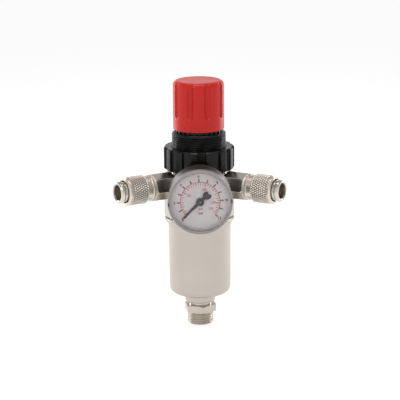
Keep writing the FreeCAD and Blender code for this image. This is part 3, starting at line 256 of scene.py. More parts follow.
def ribbed_rim():
    """Milky plastic of the gauge's rim, with painted shade on its inner wall, in the grooves between its
    ribs, and a painted shadow line along its outer edge.
    """
    paint = Paint("gauge_rim_plastic").set(Specular_IOR_Level=0.4)
    cloud = paint.noise(160.0, 4.0, 0.6)
    reach = paint.reach()
    clear = paint.mix(cloud, srgb(222, 215, 215), srgb(212, 204, 204))
    # Painted shade in the grooves between the ribs.
    ribs = paint.mix(paint.groove(), clear, srgb(150, 142, 142))
    # Painted shade on the inner wall, inside about 23.8 mm.
    inner = paint.mix(paint.ramp(reach, 0.02335, 0.0238), srgb(138, 130, 130), ribs)
    # Painted shadow line along the outer edge of the rim.
    rim_with_painted_shade = paint.mix(paint.ramp(reach, 0.02515, 0.02545), inner, srgb(74, 70, 70))
    return paint.finish(rim_with_painted_shade, paint.span(cloud, 0.22, 0.36), paint.bump(paint.noise(900.0), 0.000004, 0.3))


def sintered_bronze():
    """Grains of bronze fused together."""
    paint = Paint("sintered_bronze").set(Metallic=1.0)
    grains = paint.cells(1800.0)
    tint = paint.mix(paint.ramp(grains, 0.1, 0.6), srgb(150, 112, 66), srgb(92, 66, 38))
    return paint.finish(tint, paint.span(paint.noise(400.0), 0.4, 0.65), paint.bump(grains, 0.0002, 0.8))


def clear_lens():
    """Clear polycarbonate with a faint haze."""
    paint = Paint("lens_polycarbonate").set(Transmission_Weight=1.0, IOR=1.45, Specular_IOR_Level=0.08)
    haze = paint.noise(220.0, 4.0, 0.6)
    tint = paint.mix(paint.ramp(haze, 0.4, 0.8), (1.0, 1.0, 1.0, 1.0), (0.965, 0.955, 0.97, 1.0))
    return paint.finish(tint, paint.span(haze, 0.02, 0.07), paint.bump(paint.noise(900.0), 0.000002, 0.3))


gauge_steel = cup_steel()
knurled_metal = knurled_nickel()
rim_plastic = ribbed_rim()
sinter = sintered_bronze()
lens_clear = clear_lens()

SLOT_PAINT = {
    "nickel": nickel, "satin_bowl": satin, "polished_body": bright, "sinter": sinter, "moulding": moulding,
    "seal_rubber": rubber, "brass": brass, "spring_steel": spring_wire, "plated_steel": zinc,
    "black_plastic": black, "white_plastic": acetal, "alloy": aluminium, "red_plastic": red,
    "gauge_chrome": gauge_steel, "lens_clear": lens_clear, "dial_print": dial_paint,
    "pointer_black": pointer_paint, "fibre": fibre}
for entry in frame["record"]["subparts"]:
    node = nodes[entry["node"]]
    node.data.materials.clear()
    node.data.materials.append(SLOT_PAINT[entry["material_slot"]])


# ---------------------------------------------------------------- mesh tools
def rounded(corners, closed=True):
    """Smooth run of (radius, height) points through (radius, height, fillet) corners, in millimetres."""
    total = len(corners)
    run = []
    for index in range(total):
        here = np.array(corners[index][:2], float)
        fillet = corners[index][2] if len(corners[index]) > 2 else 0.0
        at_end = not closed and index in (0, total - 1)
        if at_end or fillet <= 0:
            run.append(here)
            continue
        before = np.array(corners[index - 1][:2], float) - here
        after = np.array(corners[(index + 1) % total][:2], float) - here
        length_before = np.linalg.norm(before)
        length_after = np.linalg.norm(after)
        before /= length_before
        after /= length_after
        opening = math.acos(max(-1.0, min(1.0, float(before @ after))))
        reach = min(fillet / math.tan(opening / 2), 0.48 * length_before, 0.48 * length_after)
        radius = reach * math.tan(opening / 2)
        middle = here + (before + after) / np.linalg.norm(before + after) * radius / math.sin(opening / 2)
        start = here + before * reach
        end = here + after * reach
        steps = max(3, int(math.degrees(math.pi - opening) / 14))
        extra = 0.15 * reach
        run.append(start + before * extra)
        for step in range(steps + 1):
            share = step / steps
            swing = (start - middle) * math.sin((1 - share) * (math.pi - opening)) \
                + (end - middle) * math.sin(share * (math.pi - opening))
            run.append(middle + swing / math.sin(math.pi - opening))
        run.append(end + after * extra)
    return np.array(run)


def new_piece(name, verts, faces, material, body, slot_name, matrix=None, sharp=32.0):
    """A smooth-shaded mesh from millimetre points that rides on a CAD body."""
    mesh = bpy.data.meshes.new(name)
    mesh.from_pydata((np.asarray(verts, float) * MM).tolist(), [], faces)
    shell = bmesh.new()
    shell.from_mesh(mesh)
    bmesh.ops.remove_doubles(shell, verts=shell.verts, dist=1e-7)
    bmesh.ops.recalc_face_normals(shell, faces=shell.faces)
    shell.to_mesh(mesh)
    shell.free()
    mesh.shade_smooth()
    mesh.set_sharp_from_angle(angle=math.radians(sharp))
    mesh.materials.append(material)
    piece = bpy.data.objects.new(name, mesh)
    bpy.context.scene.collection.objects.link(piece)
    if matrix:
        piece.matrix_world = matrix
    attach(piece, body)
    return piece


def grid_faces(rows, columns, wrap_rows):
    """Quads over a grid whose columns run right round the axis."""
    faces = []
    for row in range(rows if wrap_rows else rows - 1):
        following = (row + 1) % rows
        for column in range(columns):
            beside = (column + 1) % columns
            faces.append((row * columns + column, row * columns + beside,
                          following * columns + beside, following * columns + column))
    return faces


def capped_faces(levels, columns):
    """The grid's quads and one flat face at each end."""
    last = (levels - 1) * columns
    return grid_faces(levels, columns, False) + [tuple(range(columns)), tuple(range(last, last + columns))]


def turned_piece(name, run, material, body, slot_name, matrix=None, closed=True, angles=None, reshape=None,
                 sharp=32.0):
    """Turn a run of (radius, height) points round the axis.

    reshape(radius, height, angle) may give each point another radius and height.
    """
    if angles is None:
        angles = even_angles(128)
    radius = np.repeat(run[:, :1], len(angles), axis=1)
    height = np.repeat(run[:, 1:2], len(angles), axis=1)
    turn = np.repeat(angles[None, :], len(run), axis=0)
    if reshape:
        radius, height = reshape(radius, height, turn)
    verts = np.stack((radius * np.cos(turn), radius * np.sin(turn), height), axis=-1).reshape(-1, 3)
    faces = grid_faces(len(run), len(angles), closed)
    return new_piece(name, verts, faces, material, body, slot_name, matrix, sharp)


def polygon_radius(angle, flats, sides, turn=0.0, crispness=70.0):
    """Radius of a polygon with softly rounded corners, given its width across flats."""
    total = np.zeros_like(angle)
    for side in range(sides):
        facing = np.cos(angle - turn - math.pi * (2 * side + 1) / sides)
        total += np.clip(facing / (flats / 2), 0, None) ** crispness
    return total ** (-1 / crispness)


def even_angles(count):
    return np.linspace(0, 2 * math.pi, count, endpoint=False)


def crowded_angles(count, first, offsets):
    """Angles round the axis that crowd together on both sides of each of count equal features."""
    angles = []
    for index in range(count):
        centre = first + 2 * math.pi * index / count
        angles.extend(centre + offsets)
        angles.extend(centre - offsets[1:])
        angles.append(centre + math.pi / count)
    return np.array(sorted(set(np.round(np.mod(angles, 2 * math.pi), 9))))


def polygon_angles(sides, turn=0.0):
    """Angles round the axis that crowd together at a polygon's corners."""
    offsets = np.array([0, 0.35, 0.8, 1.4, 2.2, 3.4, 5.0, 8.0, 12.0, 17.0, 22.0, 26.0]) * 6 / sides
    return crowded_angles(sides, turn, np.radians(offsets[offsets < 180 / sides]))


def nut_piece(name, flats, sides, low, high, inner, material, body, slot_name, matrix=None, turn=0.0,
              chamfer=(0.92, 1.0), crispness=70.0):
    """A hexagon or square whose corners are cut by a cone at both ends.

    chamfer is (start radius as a share of the corner radius, drop over the rest of it).
    """
    angles = polygon_angles(sides, turn)
    outline = polygon_radius(angles, flats, sides, turn, crispness)
    corner = flats / 2 / math.cos(math.pi / sides)
    start = corner * chamfer[0]
    slope = chamfer[1] / (corner - start)
    drop = np.clip(outline - start, 0, None) * slope
    levels = [(np.full_like(outline, inner), low + 0 * drop), (np.minimum(outline, start), low + 0 * drop),
              (outline, low + drop), (outline, low + drop + 0.12), (outline, high - drop - 0.12),
              (outline, high - drop), (np.minimum(outline, start), high + 0 * drop),
              (np.full_like(outline, inner), high + 0 * drop)]
    verts = []
    for radius, height in levels:
        verts.extend(np.stack((radius * np.cos(angles), radius * np.sin(angles), height), axis=-1))
    faces = grid_faces(len(levels), len(angles), True)
    return new_piece(name, verts, faces, material, body, slot_name, matrix, sharp=20.0)


def thread_rows(low, high, pitch, per_pitch=12):
    """Evenly spaced heights, several to each thread turn."""
    return np.linspace(low, high, max(2, int((high - low) / pitch * per_pitch)) + 1)


def thread_cut(height, angle, pitch, depth, crest=0.14, root=0.12):
    """Depth of a V thread with small flats at crest and root."""
    place = np.mod(height / pitch - angle / (2 * math.pi), 1.0)
    slope = np.abs(2 * place - 1)
    return depth * np.clip((slope - crest) / (1 - crest - root), 0, 1)


def smooth_min(first, second, blend):
    """The lower of two values with a soft change-over."""
    share = np.clip(0.5 + 0.5 * (second - first) / blend, 0, 1)
    return second * (1 - share) + first * share - blend * share * (1 - share)


# ---------------------------------------------------------------- shared positions
mount = {entry["name"]: entry for entry in frame["record"]["mounts"]}
gauge_z = (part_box("gauge_case")[0][2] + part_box("gauge_case")[1][2]) / 2
coupler_z = mount["left_coupler_mouth"]["pos_m"][2]
FACE_FRONT = Matrix.Rotation(math.radians(90), 4, "X")
GAUGE_PLACE = Matrix.Translation((0, 0, gauge_z)) @ FACE_FRONT @ Matrix.Rotation(math.radians(3), 4, "Z")


def coupler_place(sign):
    """Where a coupler's own axis stands in the frame."""
    swing = Matrix.Rotation(math.radians(60 * sign), 4, "Z")
    return Matrix.Translation((0, 0, coupler_z)) @ swing @ FACE_FRONT


# ---------------------------------------------------------------- inlet nipple and bowl
INLET_PITCH = 1.814
INLET_DEPTH = 1.1
INLET_R = 10.48
INLET_RELIEF_R = 9.7
nipple_profile = np.vstack((
    [(7.0, 30.0), (7.0, 0.9), (7.4, 0.25), (7.7, 0.0), (9.2, 0.0), (9.5, 0.08)],
    [(INLET_R, height) for height in thread_rows(0.3, 10.2, INLET_PITCH)],
    [(INLET_RELIEF_R, 10.4), (INLET_RELIEF_R, 11.0)]))


def nipple_reshape(radius, height, angle):
    lead_in = 1 - np.clip((height - 0.1) / 0.9, 0, 1)
    runout = np.clip((10.3 - height) / 0.8, 0, 1)
    cut = thread_cut(height, angle, INLET_PITCH, INLET_DEPTH)
    threaded = np.minimum(INLET_R - lead_in, INLET_R - cut)
    shaped = threaded * runout + INLET_RELIEF_R * (1 - runout)
    return np.where(radius > 10.4, shaped, radius), height


nipple = turned_piece("nipple_thread", nipple_profile, thread_metal, "regulator", "nickel", closed=False,
                      angles=even_angles(144), reshape=nipple_reshape)
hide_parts("inlet_nipple")
nut_piece("nipple_hexagon", 24.0, 6, 10.5, 16.6, 9.0, nickel, "regulator", "nickel",
          turn=math.radians(41.5), chamfer=(0.90, 0.75))
turned_piece("nipple_neck", rounded([(9.0, 16.4), (9.6, 16.4, 0.1), (9.6, 20.2)], closed=False), nickel,
             "regulator", "nickel", closed=False)

bowl_run = rounded([
    (10.52, 19.4), (11.9, 19.4, 0.35), (12.5, 20.0, 0.35), (12.5, 26.4, 0.5), (25.15, 26.7, 12.6),
    (25.6, 85.6, 2.0), (28.4, 89.2, 0.9), (28.5, 90.5, 0.35), (28.0, 90.9, 0.2), (23.06, 90.9), (22.2, 84.0),
    (22.2, 30.5, 9.0), (10.52, 30.5)])
bowl = turned_piece("bowl_shell", bowl_run, satin, "regulator", "satin_bowl",
                    angles=even_angles(192))
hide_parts("bowl")

# ---------------------------------------------------------------- hexagonal body
hexagon = nut_piece("body_hexagon", 50.0, 6, 91.4, 129.0, 20.0, bright, "regulator", "polished_body",
                    chamfer=(0.896, 1.8), crispness=140.0)
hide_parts("body")
turned_piece("body_neck", rounded([(19.0, 129.0), (24.0, 129.0), (24.0, 138.0, 0.3), (19.0, 138.0)]), bright,
             "regulator", "polished_body")
turned_piece("body_spigot", rounded([(20.0, 80.0), (22.9, 80.0, 0.3), (22.9, 91.6), (20.0, 91.6)]), bright,
             "regulator", "polished_body")

# ---------------------------------------------------------------- ring nut
LOBES = 14
LOBE_R = 28.8
LOBE_PERIOD = 2 * math.pi / LOBES
lobe_turn = math.radians(-99) + math.pi / LOBES
gap_offsets = np.radians([0, 2.0, 4.0, 4.8, 5.2, 5.5, 5.9, 6.3, 6.6, 6.9, 7.2, 7.6, 8.4, 10.0, 11.6])
lobe_angles = crowded_angles(LOBES, lobe_turn, gap_offsets)


def lobe_reshape(radius, height, angle):
    away = np.abs(np.mod(angle - lobe_turn + LOBE_PERIOD / 2, LOBE_PERIOD) - LOBE_PERIOD / 2)
    side = away * 28.0
    wall = LOBE_R - 1.9 + np.clip((side - 2.75) / 0.75, 0, 1) ** 1.3 * 1.9
    crown = LOBE_R - 0.10 * np.clip((np.degrees(away) - 6.6) / 6.2, 0, 1) ** 2
    edge = smooth_min(wall, crown, 0.18)
    return np.where(radius > 26.0, np.minimum(radius, edge), radius), height


ring_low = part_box("ring_nut")[0][2] / MM
ring_run = rounded([
    (24.06, ring_low), (27.7, ring_low, 0.25), (LOBE_R, ring_low + 1.1, 0.35), (LOBE_R, 149.1, 0.35),
    (27.6, 150.3, 0.3), (22.5, 150.3, 0.25), (22.3, 150.0), (22.3, 146.1), (24.06, 146.1)])
ring_nut = turned_piece("ring_nut_lobed", ring_run, black_nut, "regulator", "black_plastic",
                        angles=lobe_angles, reshape=lobe_reshape, sharp=40.0)
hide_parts("ring_nut")

# ---------------------------------------------------------------- bonnet
BONNET_PITCH = 1.5
BONNET_DEPTH = 0.92
BONNET_R = 22.0
bonnet_profile = np.vstack((
    [(21.0, 149.0)],
    [(BONNET_R, height) for height in thread_rows(149.6, 162.2, BONNET_PITCH)],
    [(20.7, 162.35), (20.55, 162.4), (17.4, 162.4)]))


def bonnet_reshape(radius, height, angle):
    cut = thread_cut(height, angle, BONNET_PITCH, BONNET_DEPTH)
    top = BONNET_R - np.clip(height - 161.2, 0, None) * 1.05
    return np.where(radius > 21.5, np.minimum(BONNET_R - cut, top), radius), height


bonnet = turned_piece("bonnet_thread", bonnet_profile, black, "regulator", "black_plastic", closed=False,
                      angles=even_angles(180), reshape=bonnet_reshape)
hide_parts("bonnet")
TEETH = 24
TOOTH_PERIOD = 2 * math.pi / TEETH
TOOTH_GAP_R = 17.6
tooth_turn = math.radians(2.5)
tooth_angles = []
for index in range(TEETH):
    centre = tooth_turn + index * TOOTH_PERIOD
    tooth_angles.extend(centre + np.radians([-3.25, -3.15, -2.6, 0, 2.6, 3.15, 3.25]))
tooth_angles = np.array(sorted(np.mod(tooth_angles, 2 * math.pi)))


def tooth_reshape(radius, height, angle):
    away = np.abs(np.mod(angle - tooth_turn + TOOTH_PERIOD / 2, TOOTH_PERIOD) - TOOTH_PERIOD / 2)
    in_gap = (away > math.radians(3.2)) & (radius > TOOTH_GAP_R)
    return np.where(in_gap, TOOTH_GAP_R, radius), height


teeth_run = rounded([(17.2, 162.0), (19.0, 162.0), (19.0, 164.2, 0.2), (17.2, 164.2)])
turned_piece("bonnet_teeth", teeth_run, black, "regulator", "black_plastic", angles=tooth_angles,
             reshape=tooth_reshape)
tube_run = rounded([(15.2, 162.0), (TOOTH_GAP_R, 162.0), (TOOTH_GAP_R, 192.0, 0.6), (5.05, 192.0)], False)
turned_piece("bonnet_tube", tube_run, black, "regulator", "black_plastic", closed=False)

# ---------------------------------------------------------------- knob
FLUTES = 9
FLUTE_PERIOD = 2 * math.pi / FLUTES
KNOB_R = 20.75
KNOB_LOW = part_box("knob")[0][2] / MM
KNOB_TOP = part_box("knob")[1][2] / MM
flute_turn = math.radians(10)
flute_offsets = np.radians([0, 1.5, 3.0, 4.3, 5.3, 6.0, 6.5, 6.9, 7.2, 7.5, 7.9, 8.5, 9.5, 11.5, 14.0, 17.0])
flute_angles = crowded_angles(FLUTES, flute_turn, flute_offsets)
FLUTE_CENTRE = 21.8
FLUTE_R = 2.8
FLUTE_LOW = 177.6


def flute_reshape(radius, height, angle):
    away = np.mod(angle - flute_turn + FLUTE_PERIOD / 2, FLUTE_PERIOD) - FLUTE_PERIOD / 2
    below = np.clip(FLUTE_LOW - height, 0, FLUTE_R)
    tool = np.sqrt(np.clip(FLUTE_R ** 2 - below ** 2, 0, None))
    inside = tool ** 2 - (FLUTE_CENTRE * np.sin(away)) ** 2
    wall = FLUTE_CENTRE * np.cos(away) - np.sqrt(np.clip(inside, 0, None))
    beside = np.sqrt(np.clip(-inside, 0, None))
    wall = np.where(inside > 0, wall, FLUTE_CENTRE * np.cos(away) + 2 * beside)
    wall = np.where(height < FLUTE_LOW - FLUTE_R, 40.0, wall)
    return np.where(radius > 16.0, smooth_min(radius, wall, 0.3), radius), height


knob_outline = rounded([
    (18.2, 166.9), (19.25, 166.9), (19.25, KNOB_LOW + 0.2), (19.5, KNOB_LOW, 0.15), (KNOB_R, KNOB_LOW, 0.6),
    (KNOB_R, KNOB_TOP, 4.0), (0.0, KNOB_TOP)], closed=False)
flute_levels = FLUTE_LOW - FLUTE_R * np.cos(np.linspace(0, math.pi / 2, 13))
wall_levels = np.concatenate((
    [168.0, 171.0, 173.5, 174.4], flute_levels, [179.0, 184.0, 190.0, 196.0, 199.2]))
split = int(np.argmax(knob_outline[:, 1] > 199.6))
top_levels = [(reach, KNOB_TOP) for reach in (15.6, 14.0, 12.0, 8.0, 4.0, 0.0)]
knob_run = np.vstack((knob_outline[:split], [(KNOB_R, height) for height in wall_levels],
                      knob_outline[split:-1], top_levels))
knob = turned_piece("knob_fluted", knob_run, red, "knob", "red_plastic", closed=False, angles=flute_angles,
                    reshape=flute_reshape, sharp=50.0)
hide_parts("knob")

# ---------------------------------------------------------------- quick couplers
KNURL_STARTS = 38
KNURL_PITCH = 1.9
KNURL_DEPTH = 0.42
KNURL_LOW = 53.0
KNURL_HIGH = 67.1
COLLAR_LOW = 45.0
COLLAR_HIGH = 47.6
SLEEVE_R = 11.5
COLLAR_R = 10.75
NOSE_R = 8.85
knurl_rows = np.linspace(KNURL_LOW, KNURL_HIGH, 90)
collar_rows = np.linspace(COLLAR_LOW, COLLAR_HIGH, 17)
sleeve_run = np.vstack((
    rounded([(10.26, 56.5), (10.26, 52.4, 0.1), (10.9, 52.4, 0.1), (11.3, 52.8)], closed=False),
    [(SLEEVE_R, height) for height in knurl_rows],
    rounded([(SLEEVE_R, 67.25), (SLEEVE_R, 67.55, 0.08), (SLEEVE_R - 0.5, 67.75, 0.05),
             (SLEEVE_R - 0.5, 68.15, 0.05), (SLEEVE_R, 68.35, 0.08), (SLEEVE_R, 69.0, 0.2), (10.3, 70.0, 0.2),
             (9.4, 70.0, 0.15), (9.2, 69.7), (9.2, 61.0), (8.12, 61.0), (8.12, 57.0)], closed=False)))


def knurl_cut(height, angle, low, high):
    """Depth of the crossed grooves at a place on a knurled band, fading out at its ends."""
    along = height / KNURL_PITCH
    across = KNURL_STARTS * angle / (2 * math.pi)
    first = np.abs(2 * np.mod(across + along / 2, 1.0) - 1)
    second = np.abs(2 * np.mod(across - along / 2, 1.0) - 1)
    groove = np.clip((np.maximum(first, second) - 0.3) / 0.7, 0, 1)
    zone = np.clip((height - low) / 0.5, 0, 1) * np.clip((high - height) / 0.4, 0, 1)
    return KNURL_DEPTH * groove * zone


def knurl_reshape(radius, height, angle):
    knurled = (radius > SLEEVE_R - 0.1) & (height < KNURL_HIGH + 0.1) & (height > KNURL_LOW - 0.1)
    cut = knurl_cut(height, angle, KNURL_LOW, KNURL_HIGH)
    return np.where(knurled, radius - cut, radius), height


def collar_reshape(radius, height, angle):
    knurled = (radius > COLLAR_R - 0.05) & (height < COLLAR_HIGH + 0.05) & (height > COLLAR_LOW - 0.05)
    cut = 0.7 * knurl_cut(height, angle, COLLAR_LOW, COLLAR_HIGH)
    return np.where(knurled, radius - cut, radius), height


def mark_grooves(piece, outer, low, high):
    """Store how deep each point of a knurled band lies, for the painted shade in its grooves."""
    depths = []
    for vertex in piece.data.vertices:
        inside_band = (low - 0.05) * MM < vertex.co.z < (high + 0.05) * MM
        depth = outer - math.hypot(vertex.co.x, vertex.co.y) / MM
        depths.append(depth / KNURL_DEPTH if inside_band and depth < 0.6 else 0.0)
    layer = piece.data.attributes.new("groove", "FLOAT", "POINT")
    layer.data.foreach_set("value", depths)


def settle(piece):
    """Put a piece's place into its mesh, so that its box lies along the frame's axes."""
    piece.data.transform(piece.matrix_basis)
    piece.matrix_basis = Matrix.Identity(4)


def coupler(side, sign):
    """The outer pieces of one quick coupler, on the left or the right."""
    place = coupler_place(sign)
    adapter = nut_piece(side + "_adapter_hexagon", 19.0, 6, 25.6, 44.3, 6.0, soft_nickel, "regulator",
                        "nickel", place, turn=math.radians(30 - 17 * sign), chamfer=(0.90, 0.9))
    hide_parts(side + "_coupler_adapter")
    tube_section = rounded([(3.6, 24.0), (6.5, 24.0), (6.5, 43.0), (3.6, 43.0)])
    turned_piece(side + "_adapter_tube", tube_section, nickel, "regulator", "nickel", place)
    shell_run = np.vstack((
        rounded([(6.2, 44.4), (10.25, 44.4, 0.12), (COLLAR_R, 44.9)], closed=False),
        [(COLLAR_R, height) for height in collar_rows],
        rounded([(COLLAR_R, 47.7), (10.25, 48.2, 0.12), (10.2, 48.2), (10.2, 52.9), (9.85, 52.9),
                 (9.85, 50.0), (8.0, 50.0), (8.0, 66.5), (7.4, 66.5), (7.4, 75.0), (6.3, 75.0),
                 (6.3, 62.0, 0.3), (5.1, 61.2, 0.3), (5.1, 56.5), (4.6, 56.5), (4.6, 55.0), (6.2, 55.0)],
                closed=False)))
    shell = turned_piece(side + "_coupler_shell", shell_run, knurled_metal, "regulator", "nickel", place,
                         angles=even_angles(304), reshape=collar_reshape, sharp=50.0)
    mark_grooves(shell, COLLAR_R, COLLAR_LOW, COLLAR_HIGH)
    settle(shell)
    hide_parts(side + "_coupler_body")
    nose_section = rounded([
        (7.44, 66.6), (8.3, 66.6), (8.3, 72.3, 0.5), (NOSE_R, 73.2, 0.4), (NOSE_R, 75.1, 0.4),
        (8.1, 76.0, 0.3), (6.9, 76.0, 0.25), (6.5, 75.6, 0.2), (6.5, 75.02), (7.44, 75.02)])
    nose = turned_piece(side + "_nose_ring", nose_section, bright_nose, "regulator", "nickel", place,
                        angles=even_angles(160))
    settle(nose)
    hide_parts(side + "_coupler_nose")
    sleeve = turned_piece(side + "_sleeve_knurled", sleeve_run, knurled_metal, side + "_sleeve", "nickel",
                          place, closed=False, angles=even_angles(380), reshape=knurl_reshape, sharp=60.0)
    mark_grooves(sleeve, SLEEVE_R, KNURL_LOW, KNURL_HIGH)
    settle(sleeve)
    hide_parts(side + "_sleeve")


coupler("left", -1)
coupler("right", 1)

# ---------------------------------------------------------------- gauge
square = nut_piece("gauge_square", 14.0, 4, 25.6, 36.2, 4.0, nickel, "regulator", "nickel", GAUGE_PLACE,
                   turn=math.radians(105), chamfer=(0.90, 0.8))
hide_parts("gauge_stem")
case = turned_piece("gauge_cup", rounded([
    (6.3, 36.0), (23.6, 36.0, 1.4), (24.85, 37.6, 1.4), (24.85, 62.2), (24.2, 62.2), (24.2, 37.8, 1.0),
    (6.3, 36.7)]), gauge_steel, "regulator", "gauge_chrome", GAUGE_PLACE,
    angles=even_angles(192))
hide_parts("gauge_case")

window = turned_piece("gauge_window", rounded([
    (0.0, 63.2), (23.3, 63.2, 0.1), (23.3, 64.3, 0.1), (0.0, 64.3)], closed=False), lens_clear, "regulator",
    "lens_clear", GAUGE_PLACE, closed=False, angles=even_angles(180))
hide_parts("gauge_lens")
RIM_R = 25.6
RIM_TOP = 64.94
RIBS = 84
RIB_DEPTH = 0.25
RIB_INNER = 23.95
RIB_OUTER = 24.65
rim_run = rounded([
    (23.35, 62.9, 0.1), (23.4, 62.3, 0.1), (24.9, 62.3), (24.9, 58.2), (RIM_R, 58.2, 0.1),
    (RIM_R, 64.1, 0.4), (25.1, RIM_TOP, 0.3), (24.72, RIM_TOP), (24.6, RIM_TOP), (24.0, RIM_TOP),
    (23.9, RIM_TOP), (23.8, RIM_TOP, 0.08), (23.35, 64.3, 0.2)])


def rib_reshape(radius, height, angle):
    groove = np.clip(0.5 - 1.2 * np.cos(RIBS * angle), 0, 1)
    on_ribs = (radius > RIB_INNER) & (radius < RIB_OUTER) & (height > RIM_TOP - 0.04)
    return radius, height - RIB_DEPTH * groove * on_ribs


rim = turned_piece("gauge_rim", rim_run, rim_plastic, "regulator", "lens_clear", GAUGE_PLACE,
                   angles=even_angles(RIBS * 6), reshape=rib_reshape)
# How deep each rib groove is sunk, for the painted shade in the grooves.
rib_marks = []
for vertex in rim.data.vertices:
    reach = math.hypot(vertex.co.x, vertex.co.y) / MM
    sunk = (RIM_TOP - vertex.co.z / MM) / RIB_DEPTH
    rib_marks.append(min(1.0, sunk) if RIB_INNER < reach < RIB_OUTER and 0 < sunk < 1.1 else 0.0)
rim.data.attributes.new("groove", "FLOAT", "POINT").data.foreach_set("value", rib_marks)

# Dark blocks at 3 and 9 o'clock on the rim: painted shade standing in for the shade inside the rim's notches.
mark_section = rounded([(24.4, 63.6), (25.3, 63.6), (25.3, 65.0, 0.15), (24.4, 65.0, 0.15)])
for side, middle in (("left", math.pi), ("right", 0.0)):
    mark_angles = middle + np.radians(np.linspace(-3.7, 3.7, 9))
    mark_points = [(reach * math.cos(turn), reach * math.sin(turn), height)
                   for turn in mark_angles for reach, height in mark_section]
    mark_faces = capped_faces(len(mark_angles), len(mark_section))
    new_piece(side + "_rim_notch_shade", mark_points, mark_faces, pointer_paint, "regulator", "moulding",
              GAUGE_PLACE)

# ---------------------------------------------------------------- dial and its print
DIAL_TOP = 59.8
DIAL_START = -135
DIAL_SWEEP = 270
dial_section = rounded([(1.6, 59.3), (23.9, 59.3), (23.9, DIAL_TOP, 0.08), (1.6, DIAL_TOP, 0.05)])
dial = turned_piece("dial_plate", dial_section, dial_paint, "regulator", "dial_print", GAUGE_PLACE,
                    angles=even_angles(144))
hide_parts("gauge_dial")

print_black = ([], [])
print_red = ([], [])


def add_strip(store, corners):
    """A flat quad of print on the dial from four (x, y) corners."""
    start = len(store[0])
    store[0].extend([(across, up, DIAL_TOP + 0.02) for across, up in corners])
    store[1].append(tuple(range(start, start + len(corners))))


def add_tick(store, dial_angle, inner, outer, width):
    """A radial bar at an angle clockwise from the dial's top."""
    turn = math.radians(90 - dial_angle)
    ahead = np.array((math.cos(turn), math.sin(turn)))
    beside = np.array((-ahead[1], ahead[0])) * width / 2
    add_strip(store, [ahead * inner - beside, ahead * outer - beside, ahead * outer + beside,
                      ahead * inner + beside])


def add_words(store, words, centre, height):
    """Upright print centred on an (x, y) point of the dial."""
    curve = bpy.data.curves.new("print", "FONT")
    curve.body = words
    curve.align_x = "CENTER"
    curve.align_y = "CENTER"
    curve.size = height * 1.38
    curve.offset = 0.07
    curve.resolution_u = 3
    source = bpy.data.objects.new("print", curve)
    flat = source.to_mesh()
    start = len(store[0])
    for vertex in flat.vertices:
        store[0].append((centre[0] + vertex.co.x, centre[1] + vertex.co.y, DIAL_TOP + 0.02))
    for face in flat.polygons:
        store[1].append(tuple(start + corner for corner in face.vertices))
    source.to_mesh_clear()
    bpy.data.objects.remove(source)
    bpy.data.curves.remove(curve)


def dial_point(dial_angle, reach):
    """The (x, y) point at an angle clockwise from the dial's top."""
    turn = math.radians(90 - dial_angle)
    return reach * math.cos(turn), reach * math.sin(turn)


BAR_TOP = 12
for bar in range(BAR_TOP + 1):
    scale_angle = DIAL_START + bar / BAR_TOP * DIAL_SWEEP
    add_tick(print_black, scale_angle, 15.9, 18.5, 0.9)
    if bar % 2 == 0:
        add_words(print_black, str(bar), dial_point(scale_angle, 20.3), 2.1)
PSI_TOP = 174
for psi in range(0, 171, 5):
    scale_angle = DIAL_START + psi / PSI_TOP * DIAL_SWEEP
    if psi % 50 == 0:
        add_tick(print_red, scale_angle, 12.4, 15.7, 0.85)
    else:
        add_tick(print_red, scale_angle, 12.9 if psi % 10 == 0 else 13.7, 15.7, 0.55)
for psi in (50, 100, 150, 170):
    add_words(print_red, str(psi), dial_point(DIAL_START + psi / PSI_TOP * DIAL_SWEEP, 10.1), 2.0)
ARC_STEPS = 120
ARC_INNER = 15.4
ARC_OUTER = 15.9
for index in range(ARC_STEPS):
    begin = DIAL_START + index / ARC_STEPS * DIAL_SWEEP
    end = DIAL_START + (index + 1) / ARC_STEPS * DIAL_SWEEP
    add_strip(print_red, [dial_point(begin, ARC_INNER), dial_point(end, ARC_INNER),
                          dial_point(end, ARC_OUTER), dial_point(begin, ARC_OUTER)])
add_words(print_red, "psi", (0.0, -5.6), 2.1)
add_words(print_black, "bar", (0.0, -9.4), 2.1)
new_piece("dial_print_black", *print_black, ink_black, "regulator", "dial_print", GAUGE_PLACE)
new_piece("dial_print_red", *print_red, ink_red, "regulator", "dial_print", GAUGE_PLACE)

# ---------------------------------------------------------------- hand
# The hand: a tapered blade, and a tail that ends in a round weight with a bite taken out of it.
WEIGHT_R = 3.25
WEIGHT_Y = -7.5
BITE_R = 2.9
BITE_Y = -12.2
half_outline = [(0.22, 20.4), (0.38, 20.0), (1.25, 2.8), (1.35, -2.5), (1.37, -4.4)]
for swing in np.radians(np.linspace(62, -52.5, 12)):
    half_outline.append((WEIGHT_R * math.cos(swing), WEIGHT_Y + WEIGHT_R * math.sin(swing)))
for swing in np.radians(np.linspace(52, 80, 4)):
    half_outline.append((BITE_R * math.cos(swing), BITE_Y + BITE_R * math.sin(swing)))
hand_outline = np.array(half_outline + [(-across, up) for across, up in reversed(half_outline)])
ahead_edge = np.roll(hand_outline, -1, axis=0) - np.roll(hand_outline, 1, axis=0)
edge_length = np.linalg.norm(ahead_edge, axis=1)[:, None]
inward = np.stack((ahead_edge[:, 1], -ahead_edge[:, 0]), axis=1) / edge_length
hand_points = []
for height, inset in ((60.9, 0.0), (61.4, 0.0), (61.5, 0.1)):
    for across, up in hand_outline + inward * inset:
        hand_points.append((across, up, height))
HAND_PLACE = GAUGE_PLACE @ Matrix.Rotation(math.radians(131), 4, "Z")
hand = new_piece("hand_blade", hand_points, capped_faces(3, len(hand_outline)), pointer_paint, "gauge_hand",
                 "pointer_black", HAND_PLACE)
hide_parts("gauge_pointer")
